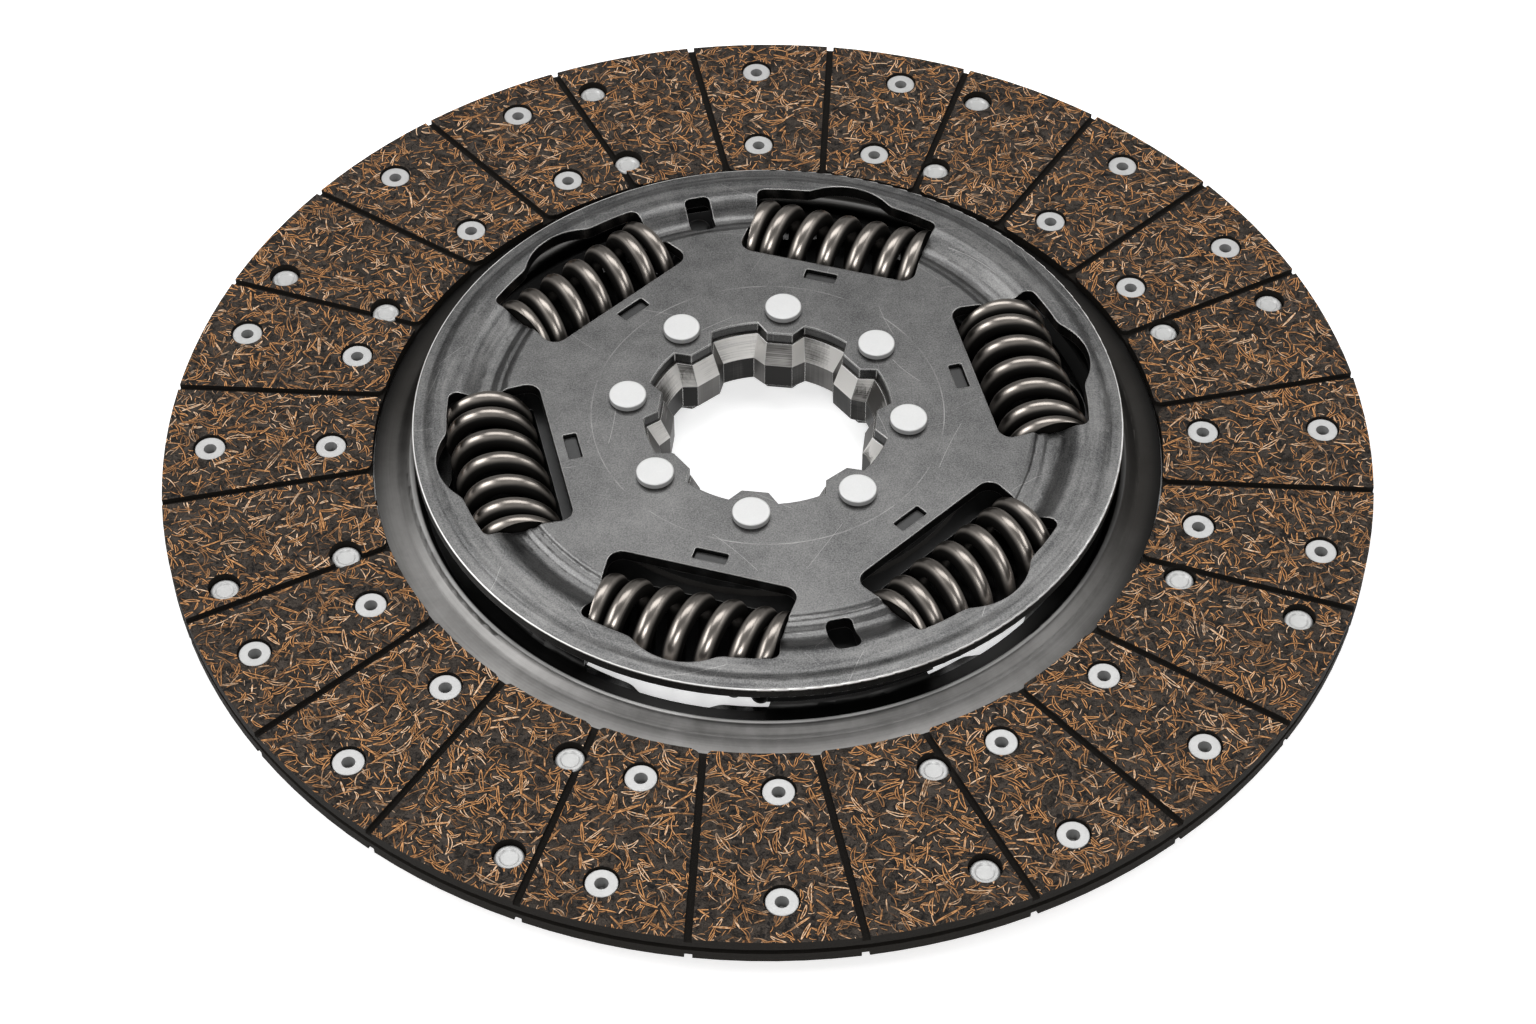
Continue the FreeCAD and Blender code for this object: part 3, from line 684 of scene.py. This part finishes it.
class Grain(Enum):
    """Kind of a steel surface's fine marks."""

    PLAIN = "plain"
    TURNED = "turned"


@dataclass(frozen=True)
class SteelFinish:
    """Bare or darkened steel with fine grain, smudges, marks of use, painted shade on its walls and
    brighter edges (edge wear with a painted highlight).

    The marks are drawn before the walls are shaded, and the painted shade marks after that and over
    the ring, which is a painted highlight.
    """

    name: str
    colour: Colour
    worn_colour: Colour
    roughness: float
    metallic: float = 1.0
    grain: Grain = Grain.PLAIN
    grain_size: float = 0.5 * MM
    grain_length: float = 60.0 * MM
    grain_detail: float = 2.0
    grain_contrast: float = 0.5
    grain_gloss: float = 0.1
    grain_depth: float = 0.01 * MM
    smudge_size: float = 26.0 * MM
    smudge_strength: float = 0.5
    smudge_swing: float = 1.1
    cloud_share: float = 0.23
    cloud_swing: float = 0.5
    cloud_gloss: float = 0.16
    arc_smudges: ArcSmudges | None = None
    marks: tuple[Mark, ...] = ()
    wall_shade: float = 1.0
    wall_span: Span = (0.15, 0.6)
    # A painted highlight along one circle.
    ring: HighlightRing | None = None
    # Painted shade, drawn over the colour after the ring.
    shade_marks: tuple[Mark, ...] = ()
    edge_radius: float = 0.4 * MM
    edge_brightness: float = 0.6
    edge_colour: Colour = (0.75, 0.74, 0.72)

    def grain_field(self, recipe: Recipe) -> Field:
        """Fine specks, or fine arcs on turned steel."""
        if self.grain is Grain.TURNED:
            return Arcs(self.grain_size, self.grain_length).on(recipe)
        return Mottle(self.grain_size, self.grain_detail).on(recipe)

    def shaded(self, recipe: Recipe, colour: Socket) -> Socket:
        """Paint shade on the upright walls.

        Args:
            recipe: The material.
            colour: The colour below.

        Returns:
            The colour, at wall_shade of its strength on upright walls.
        """
        if self.wall_shade >= 1.0:
            return colour
        level = recipe.facing_up().rise(*self.wall_span)
        light = level * (1.0 - self.wall_shade) + self.wall_shade
        return recipe.mix(1.0, colour, recipe.joined(light, light, light), Blend.SHADE)

    def build(self) -> bpy.types.Material:
        """Make the material.

        Returns:
            The material.
        """
        recipe = Recipe(self.name)
        grain = self.grain_field(recipe)
        smudge = Mottle(self.smudge_size, detail=5.0, rough=0.62, warp=0.4).on(recipe)
        cloud_size = self.smudge_size * self.cloud_share
        cloud = Mottle(cloud_size, detail=4.0, rough=0.6, turn=0.9).on(recipe)
        tone = smudge.swing(self.smudge_swing) + cloud.swing(self.cloud_swing)
        if self.arc_smudges is not None:
            tone = tone + self.arc_smudges.on(recipe)
        share = tone * self.smudge_strength + grain.swing(self.grain_contrast) + NOISE_MIDDLE
        colour = recipe.mix(share, self.colour, self.worn_colour)
        for mark in self.marks:
            colour = mark.over(recipe, colour)
        # Painted shade on the upright walls.
        colour = self.shaded(recipe, colour)
        metallic = self.metallic
        # Painted highlight: a pale, less metallic line that the lamps light.
        if self.ring is not None:
            wear_and_highlight = self.ring.mask(recipe)
            colour = recipe.mix(wear_and_highlight, colour, self.ring.colour)
            metallic = metallic - wear_and_highlight * self.ring.metal_loss
        # Painted shade over the colour.
        for mark in self.shade_marks:
            colour = mark.over(recipe, colour)
        round_normal = None
        # Pale edges: edge wear and a painted highlight, over rounded normals.
        if self.edge_brightness > 0:
            nearness, round_normal = recipe.edges(self.edge_radius)
            colour = recipe.mix(nearness * self.edge_brightness, colour, self.edge_colour)
        gloss = cloud.swing(self.cloud_gloss) + grain.swing(self.grain_gloss)
        return recipe.dress(
            base_color=colour,
            metallic=metallic,
            roughness=self.roughness + gloss,
            normal=recipe.bump(grain, self.grain_depth, normal=round_normal),
        )


@dataclass(frozen=True)
class HubTone:
    """How far each pattern moves one zone of the hub between its two colours."""

    low: Colour
    high: Colour
    middle: float
    rings: float
    streaks: float
    gleam: float
    facets: float
    facet_shift: float


@dataclass(frozen=True)
class MachinedHubFinish:
    """Machined hub steel: bright ringed taper and broached teeth with upright streaks, the teeth
    painted darker as shade in the bore; each face also gets painted light by the way it points.
    """

    name: str
    taper_end: float
    taper: HubTone = HubTone(
        low=(0.07, 0.066, 0.062), high=(0.88, 0.86, 0.83), middle=0.5,
        rings=1.3, streaks=0.0, gleam=1.6, facets=3.8, facet_shift=1.7,
    )
    # The teeth's colours are darker than the taper's: painted shade in the bore.
    teeth: HubTone = HubTone(
        low=(0.012, 0.0115, 0.011), high=(0.14, 0.135, 0.13), middle=0.3,
        rings=0.5, streaks=0.5, gleam=1.2, facets=3.8, facet_shift=5.2,
    )
    taper_soft: float = 0.1 * MM
    rings: ToolLines = ToolLines(level=22.0 * MM, upright=0.3 * MM)
    streaks: ToolLines = ToolLines(level=0.7 * MM, upright=30.0 * MM)
    gleam: Mottle = Mottle(13.0 * MM, detail=1.0, turn=0.3)
    facet_spread: float = 2.8
    facet_rough: float = 0.55
    edge: Colour = (0.92, 0.91, 0.89)
    edge_radius: float = 0.4 * MM
    edge_brightness: float = 0.9
    metallic: float = 0.75
    roughness: float = 0.45
    ring_gloss: float = 0.2
    line_depth: float = 0.02 * MM

    def facet_field(self, recipe: Recipe, shift: float) -> Field:
        """Give each flat face painted light of its own, set by the way it points, which changes
        slowly over a curved one.

        Args:
            recipe: The material.
            shift: Number that chooses another set of tones.

        Returns:
            The tone's field.
        """
        right, ahead, _ = recipe.flat_normal()
        place = recipe.joined(right * self.facet_spread, ahead * self.facet_spread, shift)
        return recipe.noise(place, 0.0, self.facet_rough)

    def zone(
        self, recipe: Recipe, tone: HubTone, rings: Field, streaks: Field, gleam: Field
    ) -> Socket:
        """Colour one zone of the hub.

        Args:
            recipe: The material.
            tone: The zone's colours and strengths.
            rings: The turned rings' field.
            streaks: The upright streaks' field.
            gleam: The broad patches' field.

        Returns:
            The zone's colour.
        """
        lines = rings.swing(tone.rings) + streaks.swing(tone.streaks)
        facets = self.facet_field(recipe, tone.facet_shift).swing(tone.facets)
        share = lines + gleam.swing(tone.gleam) + facets + tone.middle
        return recipe.mix(share, tone.low, tone.high)

    def build(self) -> bpy.types.Material:
        """Make the material.

        Returns:
            The material.
        """
        recipe = Recipe(self.name)
        rings = self.rings.on(recipe)
        streaks = self.streaks.on(recipe)
        gleam = self.gleam.on(recipe)
        up = recipe.spot()[2]
        on_taper = up.rise(self.taper_end - self.taper_soft, self.taper_end + self.taper_soft)
        taper = self.zone(recipe, self.taper, rings, streaks, gleam)
        teeth = self.zone(recipe, self.teeth, rings, streaks, gleam)
        # Pale edges: edge wear and a painted highlight, over rounded normals.
        nearness, round_normal = recipe.edges(self.edge_radius)
        colour = recipe.mix(on_taper, teeth, taper)
        height = rings * on_taper + streaks * (1.0 - on_taper)
        return recipe.dress(
            base_color=recipe.mix(nearness * self.edge_brightness, colour, self.edge),
            metallic=self.metallic,
            roughness=self.roughness + rings.swing(self.ring_gloss),
            normal=recipe.bump(height, self.line_depth, normal=round_normal),
        )


@dataclass(frozen=True)
class SpringFinish:
    """Bronze-brown spring steel, bright on the coils' outer side, with painted shade, near black, on
    the flanks and lower parts.
    """

    name: str
    middle: float
    count: int
    first_angle: float
    colour: Colour = (0.44, 0.4, 0.362)
    dull: Colour = (0.24, 0.216, 0.194)
    shade_colour: Colour = (0.004, 0.0035, 0.003)
    cloud: Mottle = Mottle(6.0 * MM, rough=0.5)
    cloud_swing: float = 1.2
    grit: Mottle = Mottle(0.4 * MM, detail=2.0)
    grit_swing: float = 0.4
    shade_wave: float = 2.0 * MM
    unshaded_heights: Span = (-1.0 * MM, 9.0 * MM)
    side_span: Span = (0.25, 0.85)
    shaded_roughness: float = 0.6
    unshaded_gloss: float = 0.32
    specular: float = 0.1

    def sideways(self, recipe: Recipe, turn: Field) -> Field:
        """Find how far the coil's wire turns away from the middle of its outer side.

        Args:
            recipe: The material.
            turn: Angle about Z in radians.

        Returns:
            The part of the surface's normal that lies along the nearest spring's axis.
        """
        pitch = math.tau / self.count
        first = math.radians(self.first_angle)
        centre = ((turn - first) / pitch).rounded() * pitch + first
        normal = recipe.node("ShaderNodeTexCoord").outputs["Normal"]
        right, ahead, _ = recipe.parts(normal)
        return abs(ahead * centre.cosine() - right * centre.sine())

    def build(self) -> bpy.types.Material:
        """Make the material.

        Returns:
            The material.
        """
        recipe = Recipe(self.name)
        cloud = self.cloud.on(recipe)
        grit = self.grit.on(recipe)
        _, turn, up = recipe.around()
        # Painted shade: the coils go near black below their middle and on the flanks of the wire.
        height = up + cloud.swing(self.shade_wave)
        unshaded = height.rise(self.middle + self.unshaded_heights[0], self.middle + self.unshaded_heights[1])
        unshaded = unshaded * self.sideways(recipe, turn).fall(*self.side_span)
        share = cloud.swing(self.cloud_swing) + grit.swing(self.grit_swing) + NOISE_MIDDLE
        colour = recipe.mix(share, self.dull, self.colour)
        return recipe.dress(
            base_color=recipe.mix(unshaded, self.shade_colour, colour),
            metallic=unshaded,
            roughness=self.shaded_roughness - unshaded * self.unshaded_gloss,
            specular_ior_level=self.specular,
        )


class Side(Enum):
    """The side to which a facing's friction face points, as a sign along Z."""

    FRONT = 1.0
    REAR = -1.0


def fibre_layer(
    cell: float, width: float, reach: float, curl: float, seed: float, pair_gap: float
) -> Strands:
    """One layer of the facings' fibres, with its cell, width and gap given in millimetres."""
    return Strands(
        cell * MM, width * MM, reach, curl, seed, pair_gap=pair_gap * MM, flow_size=13.0 * MM
    )


@dataclass(frozen=True)
class FacingFinish:
    """Moulded friction composite: dark binder full of short curled copper-coloured fibres."""

    name: str
    face_height: float
    side: Side
    binder: Colour = (0.014, 0.0115, 0.0095)
    binder_pale: Colour = (0.082, 0.067, 0.056)
    binder_middle: float = 0.33
    flake: Colour = (0.006, 0.0065, 0.0075)
    # Near-black colours off the friction face: painted shade in the grooves, holes and on the walls.
    wall_dark: Colour = (0.006, 0.0055, 0.005)
    wall_pale: Colour = (0.02, 0.017, 0.014)
    fibre_dark: Colour = (0.2, 0.082, 0.03)
    fibre_bright: Colour = (0.8, 0.4, 0.16)
    fibre_pale: Colour = (0.88, 0.68, 0.5)
    mottle: Mottle = Mottle(4.0 * MM, detail=5.0, rough=0.68, warp=0.8)
    mottle_swing: float = 2.4
    grit: Mottle = Mottle(0.42 * MM, detail=2.0)
    grit_swing: float = 1.5
    grit_height: float = 0.4
    chips: Mottle = Mottle(2.1 * MM, 2.0, rough=0.5, warp=1.2, turn=0.4, shift=(3.0, 8.0, 1.0))
    chip_span: Span = (0.57, 0.63)
    chip_strength: float = 0.85
    chip_depth: float = 0.5
    bunch: Mottle = Mottle(7.5 * MM, 3.0, rough=0.6, turn=0.2, shift=(9.0, 2.0, 4.0))
    bunch_span: Span = (0.4, 0.54)
    outside_bunch: float = 0.4
    glint: Mottle = Mottle(1.3 * MM, detail=2.0, turn=0.5)
    glint_span: Span = (0.3, 0.68)
    wall_grit: Mottle = Mottle(0.5 * MM, detail=2.0, turn=0.3)
    layers: tuple[Strands, ...] = (
        fibre_layer(2.8, 0.17, 0.45, 1.6, 1.0, pair_gap=0.0),
        fibre_layer(4.2, 0.19, 0.46, 2.2, 2.0, pair_gap=0.3),
        fibre_layer(5.4, 0.2, 0.46, 1.2, 3.0, pair_gap=0.42),
        fibre_layer(6.8, 0.21, 0.45, 2.0, 4.0, pair_gap=0.5),
        fibre_layer(8.2, 0.22, 0.44, 1.4, 5.0, pair_gap=0.55),
        fibre_layer(10.0, 0.22, 0.43, 2.4, 6.0, pair_gap=0.6),
        fibre_layer(12.0, 0.23, 0.4, 1.2, 7.0, pair_gap=0.65),
    )
    kept_draws: Span = (0.34, 0.46)
    pale_draws: Span = (0.76, 0.9)
    pale_strength: float = 0.85
    dimmest_draw: float = 0.3
    draw_share: float = 0.6
    glint_share: float = 0.6
    beside_strength: float = 0.75
    fibre_height: float = 0.8
    face_fade: Span = (0.15 * MM, 0.5 * MM)
    level_span: Span = (0.5, 0.9)
    relief: float = 0.12 * MM
    relief_strength: float = 0.7
    roughness: float = 0.78
    specular: float = 0.12

    def binder_field(self, recipe: Recipe) -> tuple[Socket, Field]:
        """Make the binder between the fibres.

        Args:
            recipe: The material.

        Returns:
            Its mottled colour with dark flakes, and its relief.
        """
        mottle = self.mottle.on(recipe).swing(self.mottle_swing)
        grit = self.grit.on(recipe)
        chips = self.chips.on(recipe).rise(*self.chip_span)
        share = mottle + grit.swing(self.grit_swing) + self.binder_middle
        colour = recipe.mix(share, self.binder, self.binder_pale)
        relief = grit * self.grit_height - chips * self.chip_depth
        return recipe.mix(chips * self.chip_strength, colour, self.flake), relief

    def fibre_colour(self, recipe: Recipe, draw: Field, glint: Field) -> Socket:
        """Colour the fibres, with painted glints that brighten them and make a few of them pale.

        Args:
            recipe: The material.
            draw: A random number for each fibre.
            glint: Mask of the glinting places.

        Returns:
            The fibres' colour.
        """
        share = (draw - self.dimmest_draw) * self.draw_share + glint * self.glint_share
        fibre = recipe.mix(share, self.fibre_dark, self.fibre_bright)
        pale = draw.rise(*self.pale_draws) * glint * self.pale_strength
        return recipe.mix(pale, fibre, self.fibre_pale)

    def build(self) -> bpy.types.Material:
        """Make the material.

        Returns:
            The material.
        """
        recipe = Recipe(self.name)
        depth = (self.face_height - recipe.spot()[2]) * self.side.value
        on_face = depth.fall(*self.face_fade) * recipe.facing_up().rise(*self.level_span)
        colour, height = self.binder_field(recipe)
        bunch = self.bunch.on(recipe).rise(*self.bunch_span)
        crowd = bunch * (1.0 - self.outside_bunch) + self.outside_bunch
        glint = self.glint.on(recipe).rise(*self.glint_span)
        for layer in self.layers:
            body, beside, draw = layer.on(recipe)
            kept = draw.rise(*self.kept_draws) * crowd * on_face
            shown = body * kept
            fibre = self.fibre_colour(recipe, draw, glint)
            # A painted shadow beside each fibre.
            colour = recipe.mix(beside * kept * self.beside_strength, colour, self.flake)
            colour = recipe.mix(shown, colour, fibre)
            height = height + shown * self.fibre_height
        # Painted shade off the friction face: grooves, holes and walls go near black.
        wall = recipe.mix(self.wall_grit.on(recipe), self.wall_dark, self.wall_pale)
        return recipe.dress(
            base_color=recipe.mix(on_face, wall, colour),
            roughness=self.roughness,
            specular_ior_level=self.specular,
            normal=recipe.bump(height, self.relief, self.relief_strength),
        )


@dataclass(frozen=True)
class FloorFinish:
    """Pale floor that shows white to the camera and keeps a soft shadow.

    It glows in the hub, round the disc and, on the near side, below the gap inside the facings, where
    the glow is a painted pool of light; under the rest of the disc it is painted near black as
    shadow.
    """

    colour: Colour = (0.86, 0.86, 0.86)
    deep_shade: Colour = (0.03, 0.03, 0.03)
    roughness: float = 0.9
    glow: float = 0.55
    hub_radius: float = 46.0 * MM
    hub_soft: float = 4.0 * MM
    disc_radius: float = 200.0 * MM
    disc_soft: float = 6.0 * MM
    gap_radii: Span = (97.0 * MM, 119.0 * MM)
    gap_soft: float = 1.0 * MM
    near_span: Span = (60.0 * MM, 70.0 * MM)
    shade_span: Span = (-30.0 * MM, -10.0 * MM)

    def seen(self, recipe: Recipe) -> Field:
        """Mask of the rays that show the floor, in the picture or in metal and glass."""
        path = recipe.node("ShaderNodeLightPath").outputs
        rays = Field(recipe, path["Is Camera Ray"]) + Field(recipe, path["Is Glossy Ray"])
        return (rays + Field(recipe, path["Is Transmission Ray"])).at_most(1.0)

    def build(self) -> bpy.types.Material:
        """Make the material.

        Returns:
            The material.
        """
        recipe = Recipe("pale_floor")
        radius = recipe.around()[0]
        near = (-recipe.spot()[1]).rise(*self.near_span)
        lit = radius.fall(self.hub_radius, self.hub_radius + self.hub_soft)
        rim, soft = self.disc_radius, self.disc_soft
        lit = lit + radius.rise(rim - soft, rim + soft)
        lit = lit + radius.between(*self.gap_radii, self.gap_soft) * near
        strength = self.seen(recipe) * lit * self.glow
        glow = recipe.node("ShaderNodeEmission", {}, {"Color": WHITE, "Strength": strength})
        shaders = {0: recipe.shader.outputs[0], 1: glow.outputs[0]}
        both = recipe.node("ShaderNodeAddShader", {}, shaders)
        recipe.feed(recipe.output.inputs["Surface"], both.outputs[0])
        # Painted shadow: under the disc, away from the glowing places, the floor is near black.
        under = radius.fall(rim + self.shade_span[0], rim + self.shade_span[1])
        colour = recipe.mix(under * (1.0 - lit.at_most(1.0)), self.colour, self.deep_shade)
        return recipe.dress(base_color=colour, roughness=self.roughness, specular_ior_level=0.0)


def wear(node: str, material: bpy.types.Material) -> None:
    """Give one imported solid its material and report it.

    Args:
        node: The solid's name.
        material: What it wears.
    """
    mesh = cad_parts[node].data
    mesh.materials.clear()
    mesh.materials.append(material)
    LOG.info("%s wears %s", node, material.name)


@dataclass
class FrictionFacings:
    """The two grooved facings, their rivets and the cushion segments between them."""

    front: str = "front_facing"
    rear: str = "rear_facing"
    rivets: tuple[str, ...] = ("front_facing_rivets", "rear_facing_rivets")
    segment_count: int = 8
    rivet_finish: SteelFinish = SteelFinish(
        "bright_rivet", (0.44, 0.44, 0.435), (0.6, 0.6, 0.592), 0.42, metallic=0.3,
        wall_shade=0.35, smudge_size=5.0 * MM, smudge_strength=0.8, edge_radius=0.3 * MM,
        edge_brightness=0.3,
    )
    segment_finish: SteelFinish = SteelFinish(
        "spring_sheet", (0.3, 0.3, 0.3), (0.5, 0.5, 0.5), 0.35, edge_radius=0.1 * MM,
    )

    def dress(self) -> None:
        """Give the facings, rivets and segments their finishes."""
        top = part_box(self.front)[1][2]
        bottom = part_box(self.rear)[0][2]
        wear(self.front, FacingFinish("front_facing_composite", top, Side.FRONT).build())
        wear(self.rear, FacingFinish("rear_facing_composite", bottom, Side.REAR).build())
        bright = self.rivet_finish.build()
        for node in self.rivets:
            wear(node, bright)
        sheet = self.segment_finish.build()
        for index in range(self.segment_count):
            wear(f"cushion_segment_{index + 1}", sheet)


@dataclass
class Carrier:
    """The carrier disc, the drive plate on it and the rivets that join them."""

    # Painted shade on the carrier's walls, on one side and inside the bead, and a painted highlight
    # along the bead's crest.
    finish: SteelFinish = SteelFinish(
        "carrier_steel", (0.13, 0.126, 0.121), (0.36, 0.353, 0.344), 0.45,
        grain=Grain.TURNED, grain_size=0.7 * MM, smudge_strength=1.0, edge_brightness=0.0,
        wall_shade=0.35, ring=HighlightRing(radius=127.0 * MM, width=1.15 * MM),
        shade_marks=(
            SideShade(turn=1.35, strength=0.92, rim_radius=140.6 * MM),
            ShadedInside(radius=125.9 * MM),
        ),
    )
    plate_finish: SteelFinish = SteelFinish(
        "drive_plate_steel", (0.06, 0.06, 0.06), (0.11, 0.11, 0.11), 0.5
    )

    def dress(self) -> None:
        """Give the carrier, drive plate and arm rivets their finishes."""
        wear("carrier_disc", self.finish.build())
        plate = self.plate_finish.build()
        wear("drive_plate", plate)
        wear("arm_rivets", plate)


@dataclass
class DamperCovers:
    """The two pressed covers and the rings that they hold."""

    covers: tuple[str, ...] = ("front_cover", "rear_cover")
    inner_rings: tuple[str, ...] = ("front_pressure_ring", "rear_pressure_ring")
    friction_rings: tuple[str, ...] = ("front_friction_ring", "rear_friction_ring")
    # Painted shade on the cover's walls and a painted highlight along the rim's top edge.
    finish: SteelFinish = SteelFinish(
        "cover_steel", (0.075, 0.075, 0.076), (0.23, 0.228, 0.224), 0.38,
        grain_contrast=1.7, smudge_strength=0.95, edge_radius=0.65 * MM, edge_brightness=0.75,
        wall_shade=0.3, arc_smudges=ArcSmudges(inner=100.0 * MM, strength=1.9),
        marks=(Scratches(share=0.6), ScribedCircle(radius=62.5 * MM)),
        ring=HighlightRing(radius=125.4 * MM),
    )
    # The inner rings are near black: painted shade where they show in the covers' slots.
    ring_finish: SteelFinish = SteelFinish(
        "inner_ring_steel", (0.04, 0.04, 0.04), (0.11, 0.11, 0.11), 0.45
    )
    friction_finish: SteelFinish = SteelFinish(
        "friction_ring_composite", (0.01, 0.009, 0.008), (0.025, 0.022, 0.019), 0.8,
        metallic=0.0, edge_brightness=0.0,
    )

    def dress(self) -> None:
        """Give the covers and rings their finishes."""
        groups = (
            (self.covers, self.finish),
            (self.inner_rings, self.ring_finish),
            (self.friction_rings, self.friction_finish),
        )
        for nodes, finish in groups:
            material = finish.build()
            for node in nodes:
                wear(node, material)


@dataclass
class Hub:
    """The toothed hub ring and its rivets."""

    taper_end: float = 18.2 * MM
    rivet_finish: SteelFinish = SteelFinish(
        "hub_rivet_steel", (0.6, 0.6, 0.596), (0.74, 0.74, 0.735), 0.46, metallic=0.3,
        smudge_size=9.0 * MM, edge_brightness=0.2, wall_shade=0.55,
    )

    def dress(self) -> None:
        """Give the hub and its rivets their finishes."""
        wear("hub_ring", MachinedHubFinish("hub_steel", self.taper_end).build())
        wear("hub_rivets", self.rivet_finish.build())


@dataclass
class DamperSprings:
    """Six coil springs that shorten as the damper turns."""

    count: int = 6
    first_angle: float = 14.0
    axis_radius: float = 96.0 * MM
    middle_height: float = 16.9 * MM
    kept_length: float = 0.76

    def dress(self) -> None:
        """Give the springs their finish and each its own mesh."""
        finish = SpringFinish("spring_steel", self.middle_height, self.count, self.first_angle)
        material = finish.build()
        for index in range(self.count):
            node = f"damper_spring_{index + 1}"
            wear(node, material)
            angle = math.radians(self.first_angle + index * FULL_TURN / self.count)
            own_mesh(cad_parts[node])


@dataclass(frozen=True)
class SoftBox:
    """A soft rectangular lamp, with its width in metres and its power in watts."""

    name: str
    place: Point
    width: float
    power: float
    height_share: float = 0.6

    def hang(self, target: Point) -> None:
        """Hang the lamp and turn it to a target.

        Args:
            target: The place that it lights.
        """
        lamp = bpy.data.lights.new(self.name, "AREA")
        lamp.shape = "RECTANGLE"
        lamp.size = self.width
        lamp.size_y = self.width * self.height_share
        lamp.energy = self.power
        holder = bpy.data.objects.new(self.name, lamp)
        holder.location = self.place
        aim = Vector(target) - Vector(self.place)
        holder.rotation_euler = aim.to_track_quat("-Z", "Y").to_euler()
        bpy.context.scene.collection.objects.link(holder)


@dataclass
class Studio:
    """Floor, soft lamps, background and the camera at the photo's angle."""

    floor_size: float = 8.0
    lens: float = 74.55
    sensor: float = 36.0
    nearest: float = 0.01
    camera_place: Point = (0.0001, -0.7712, 0.853)
    elevation: float = 48.65
    world_strength: float = 0.22
    target: Point = (0.0, 0.0, 0.015)
    lamps: tuple[SoftBox, ...] = (
        SoftBox("overhead_box", (0.0, 0.7, 1.5), width=1.5, power=11.7),
        SoftBox("left_box", (-1.3, 0.0, 1.1), width=1.2, power=13.0),
        SoftBox("right_box", (1.3, 0.2, 1.1), width=1.2, power=8.0),
        SoftBox("front_box", (0.1, -1.5, 1.2), width=1.0, power=13.0),
    )

    def build_floor(self) -> None:
        """Lay the floor under the disc."""
        mesh = bpy.data.meshes.new("floor")
        shape = bmesh.new()
        bmesh.ops.create_grid(shape, x_segments=1, y_segments=1, size=self.floor_size / 2)
        shape.to_mesh(mesh)
        shape.free()
        mesh.materials.append(FloorFinish().build())
        floor = bpy.data.objects.new("floor", mesh)
        bpy.context.scene.collection.objects.link(floor)

    def build_world(self) -> None:
        """Set white behind the disc and softer light on it."""
        world = bpy.data.worlds.new("studio_light")
        bpy.context.scene.world = world
        world.use_nodes = True
        nodes = NodeTree(world.node_tree)
        seen = nodes.field("ShaderNodeLightPath", {}, {}, "Is Camera Ray")
        strength = seen * (1.0 - self.world_strength) + self.world_strength
        sky = nodes.node("ShaderNodeBackground", {}, {"Color": WHITE, "Strength": strength})
        nodes.node("ShaderNodeOutputWorld", {}, {"Surface": sky.outputs[0]})

    def build_camera(self) -> None:
        """Set the camera where the photo was taken from."""
        data = bpy.data.cameras.new("photo_camera")
        data.lens = self.lens
        data.sensor_width = self.sensor
        data.clip_start = self.nearest
        camera = bpy.data.objects.new("photo_camera", data)
        camera.location = self.camera_place
        camera.rotation_euler = (math.radians(90.0 - self.elevation), 0.0, 0.0)
        bpy.context.scene.collection.objects.link(camera)
        bpy.context.scene.camera = camera
        bpy.context.scene.view_settings.view_transform = "Standard"

    def build(self) -> None:
        """Build the whole studio."""
        self.build_floor()
        for lamp in self.lamps:
            lamp.hang(self.target)
        self.build_world()
        self.build_camera()


def main() -> None:
    """Dress every sub-assembly in order and build the studio."""
    logging.basicConfig(level=logging.INFO, format="%(name)s: %(message)s")
    for assembly in (FrictionFacings(), Carrier(), DamperCovers(), Hub(), DamperSprings()):
        assembly.dress()
        LOG.info("%s dressed", type(assembly).__name__)
    Studio().build()
    LOG.info("studio built")


if __name__ == "__main__":
    main()
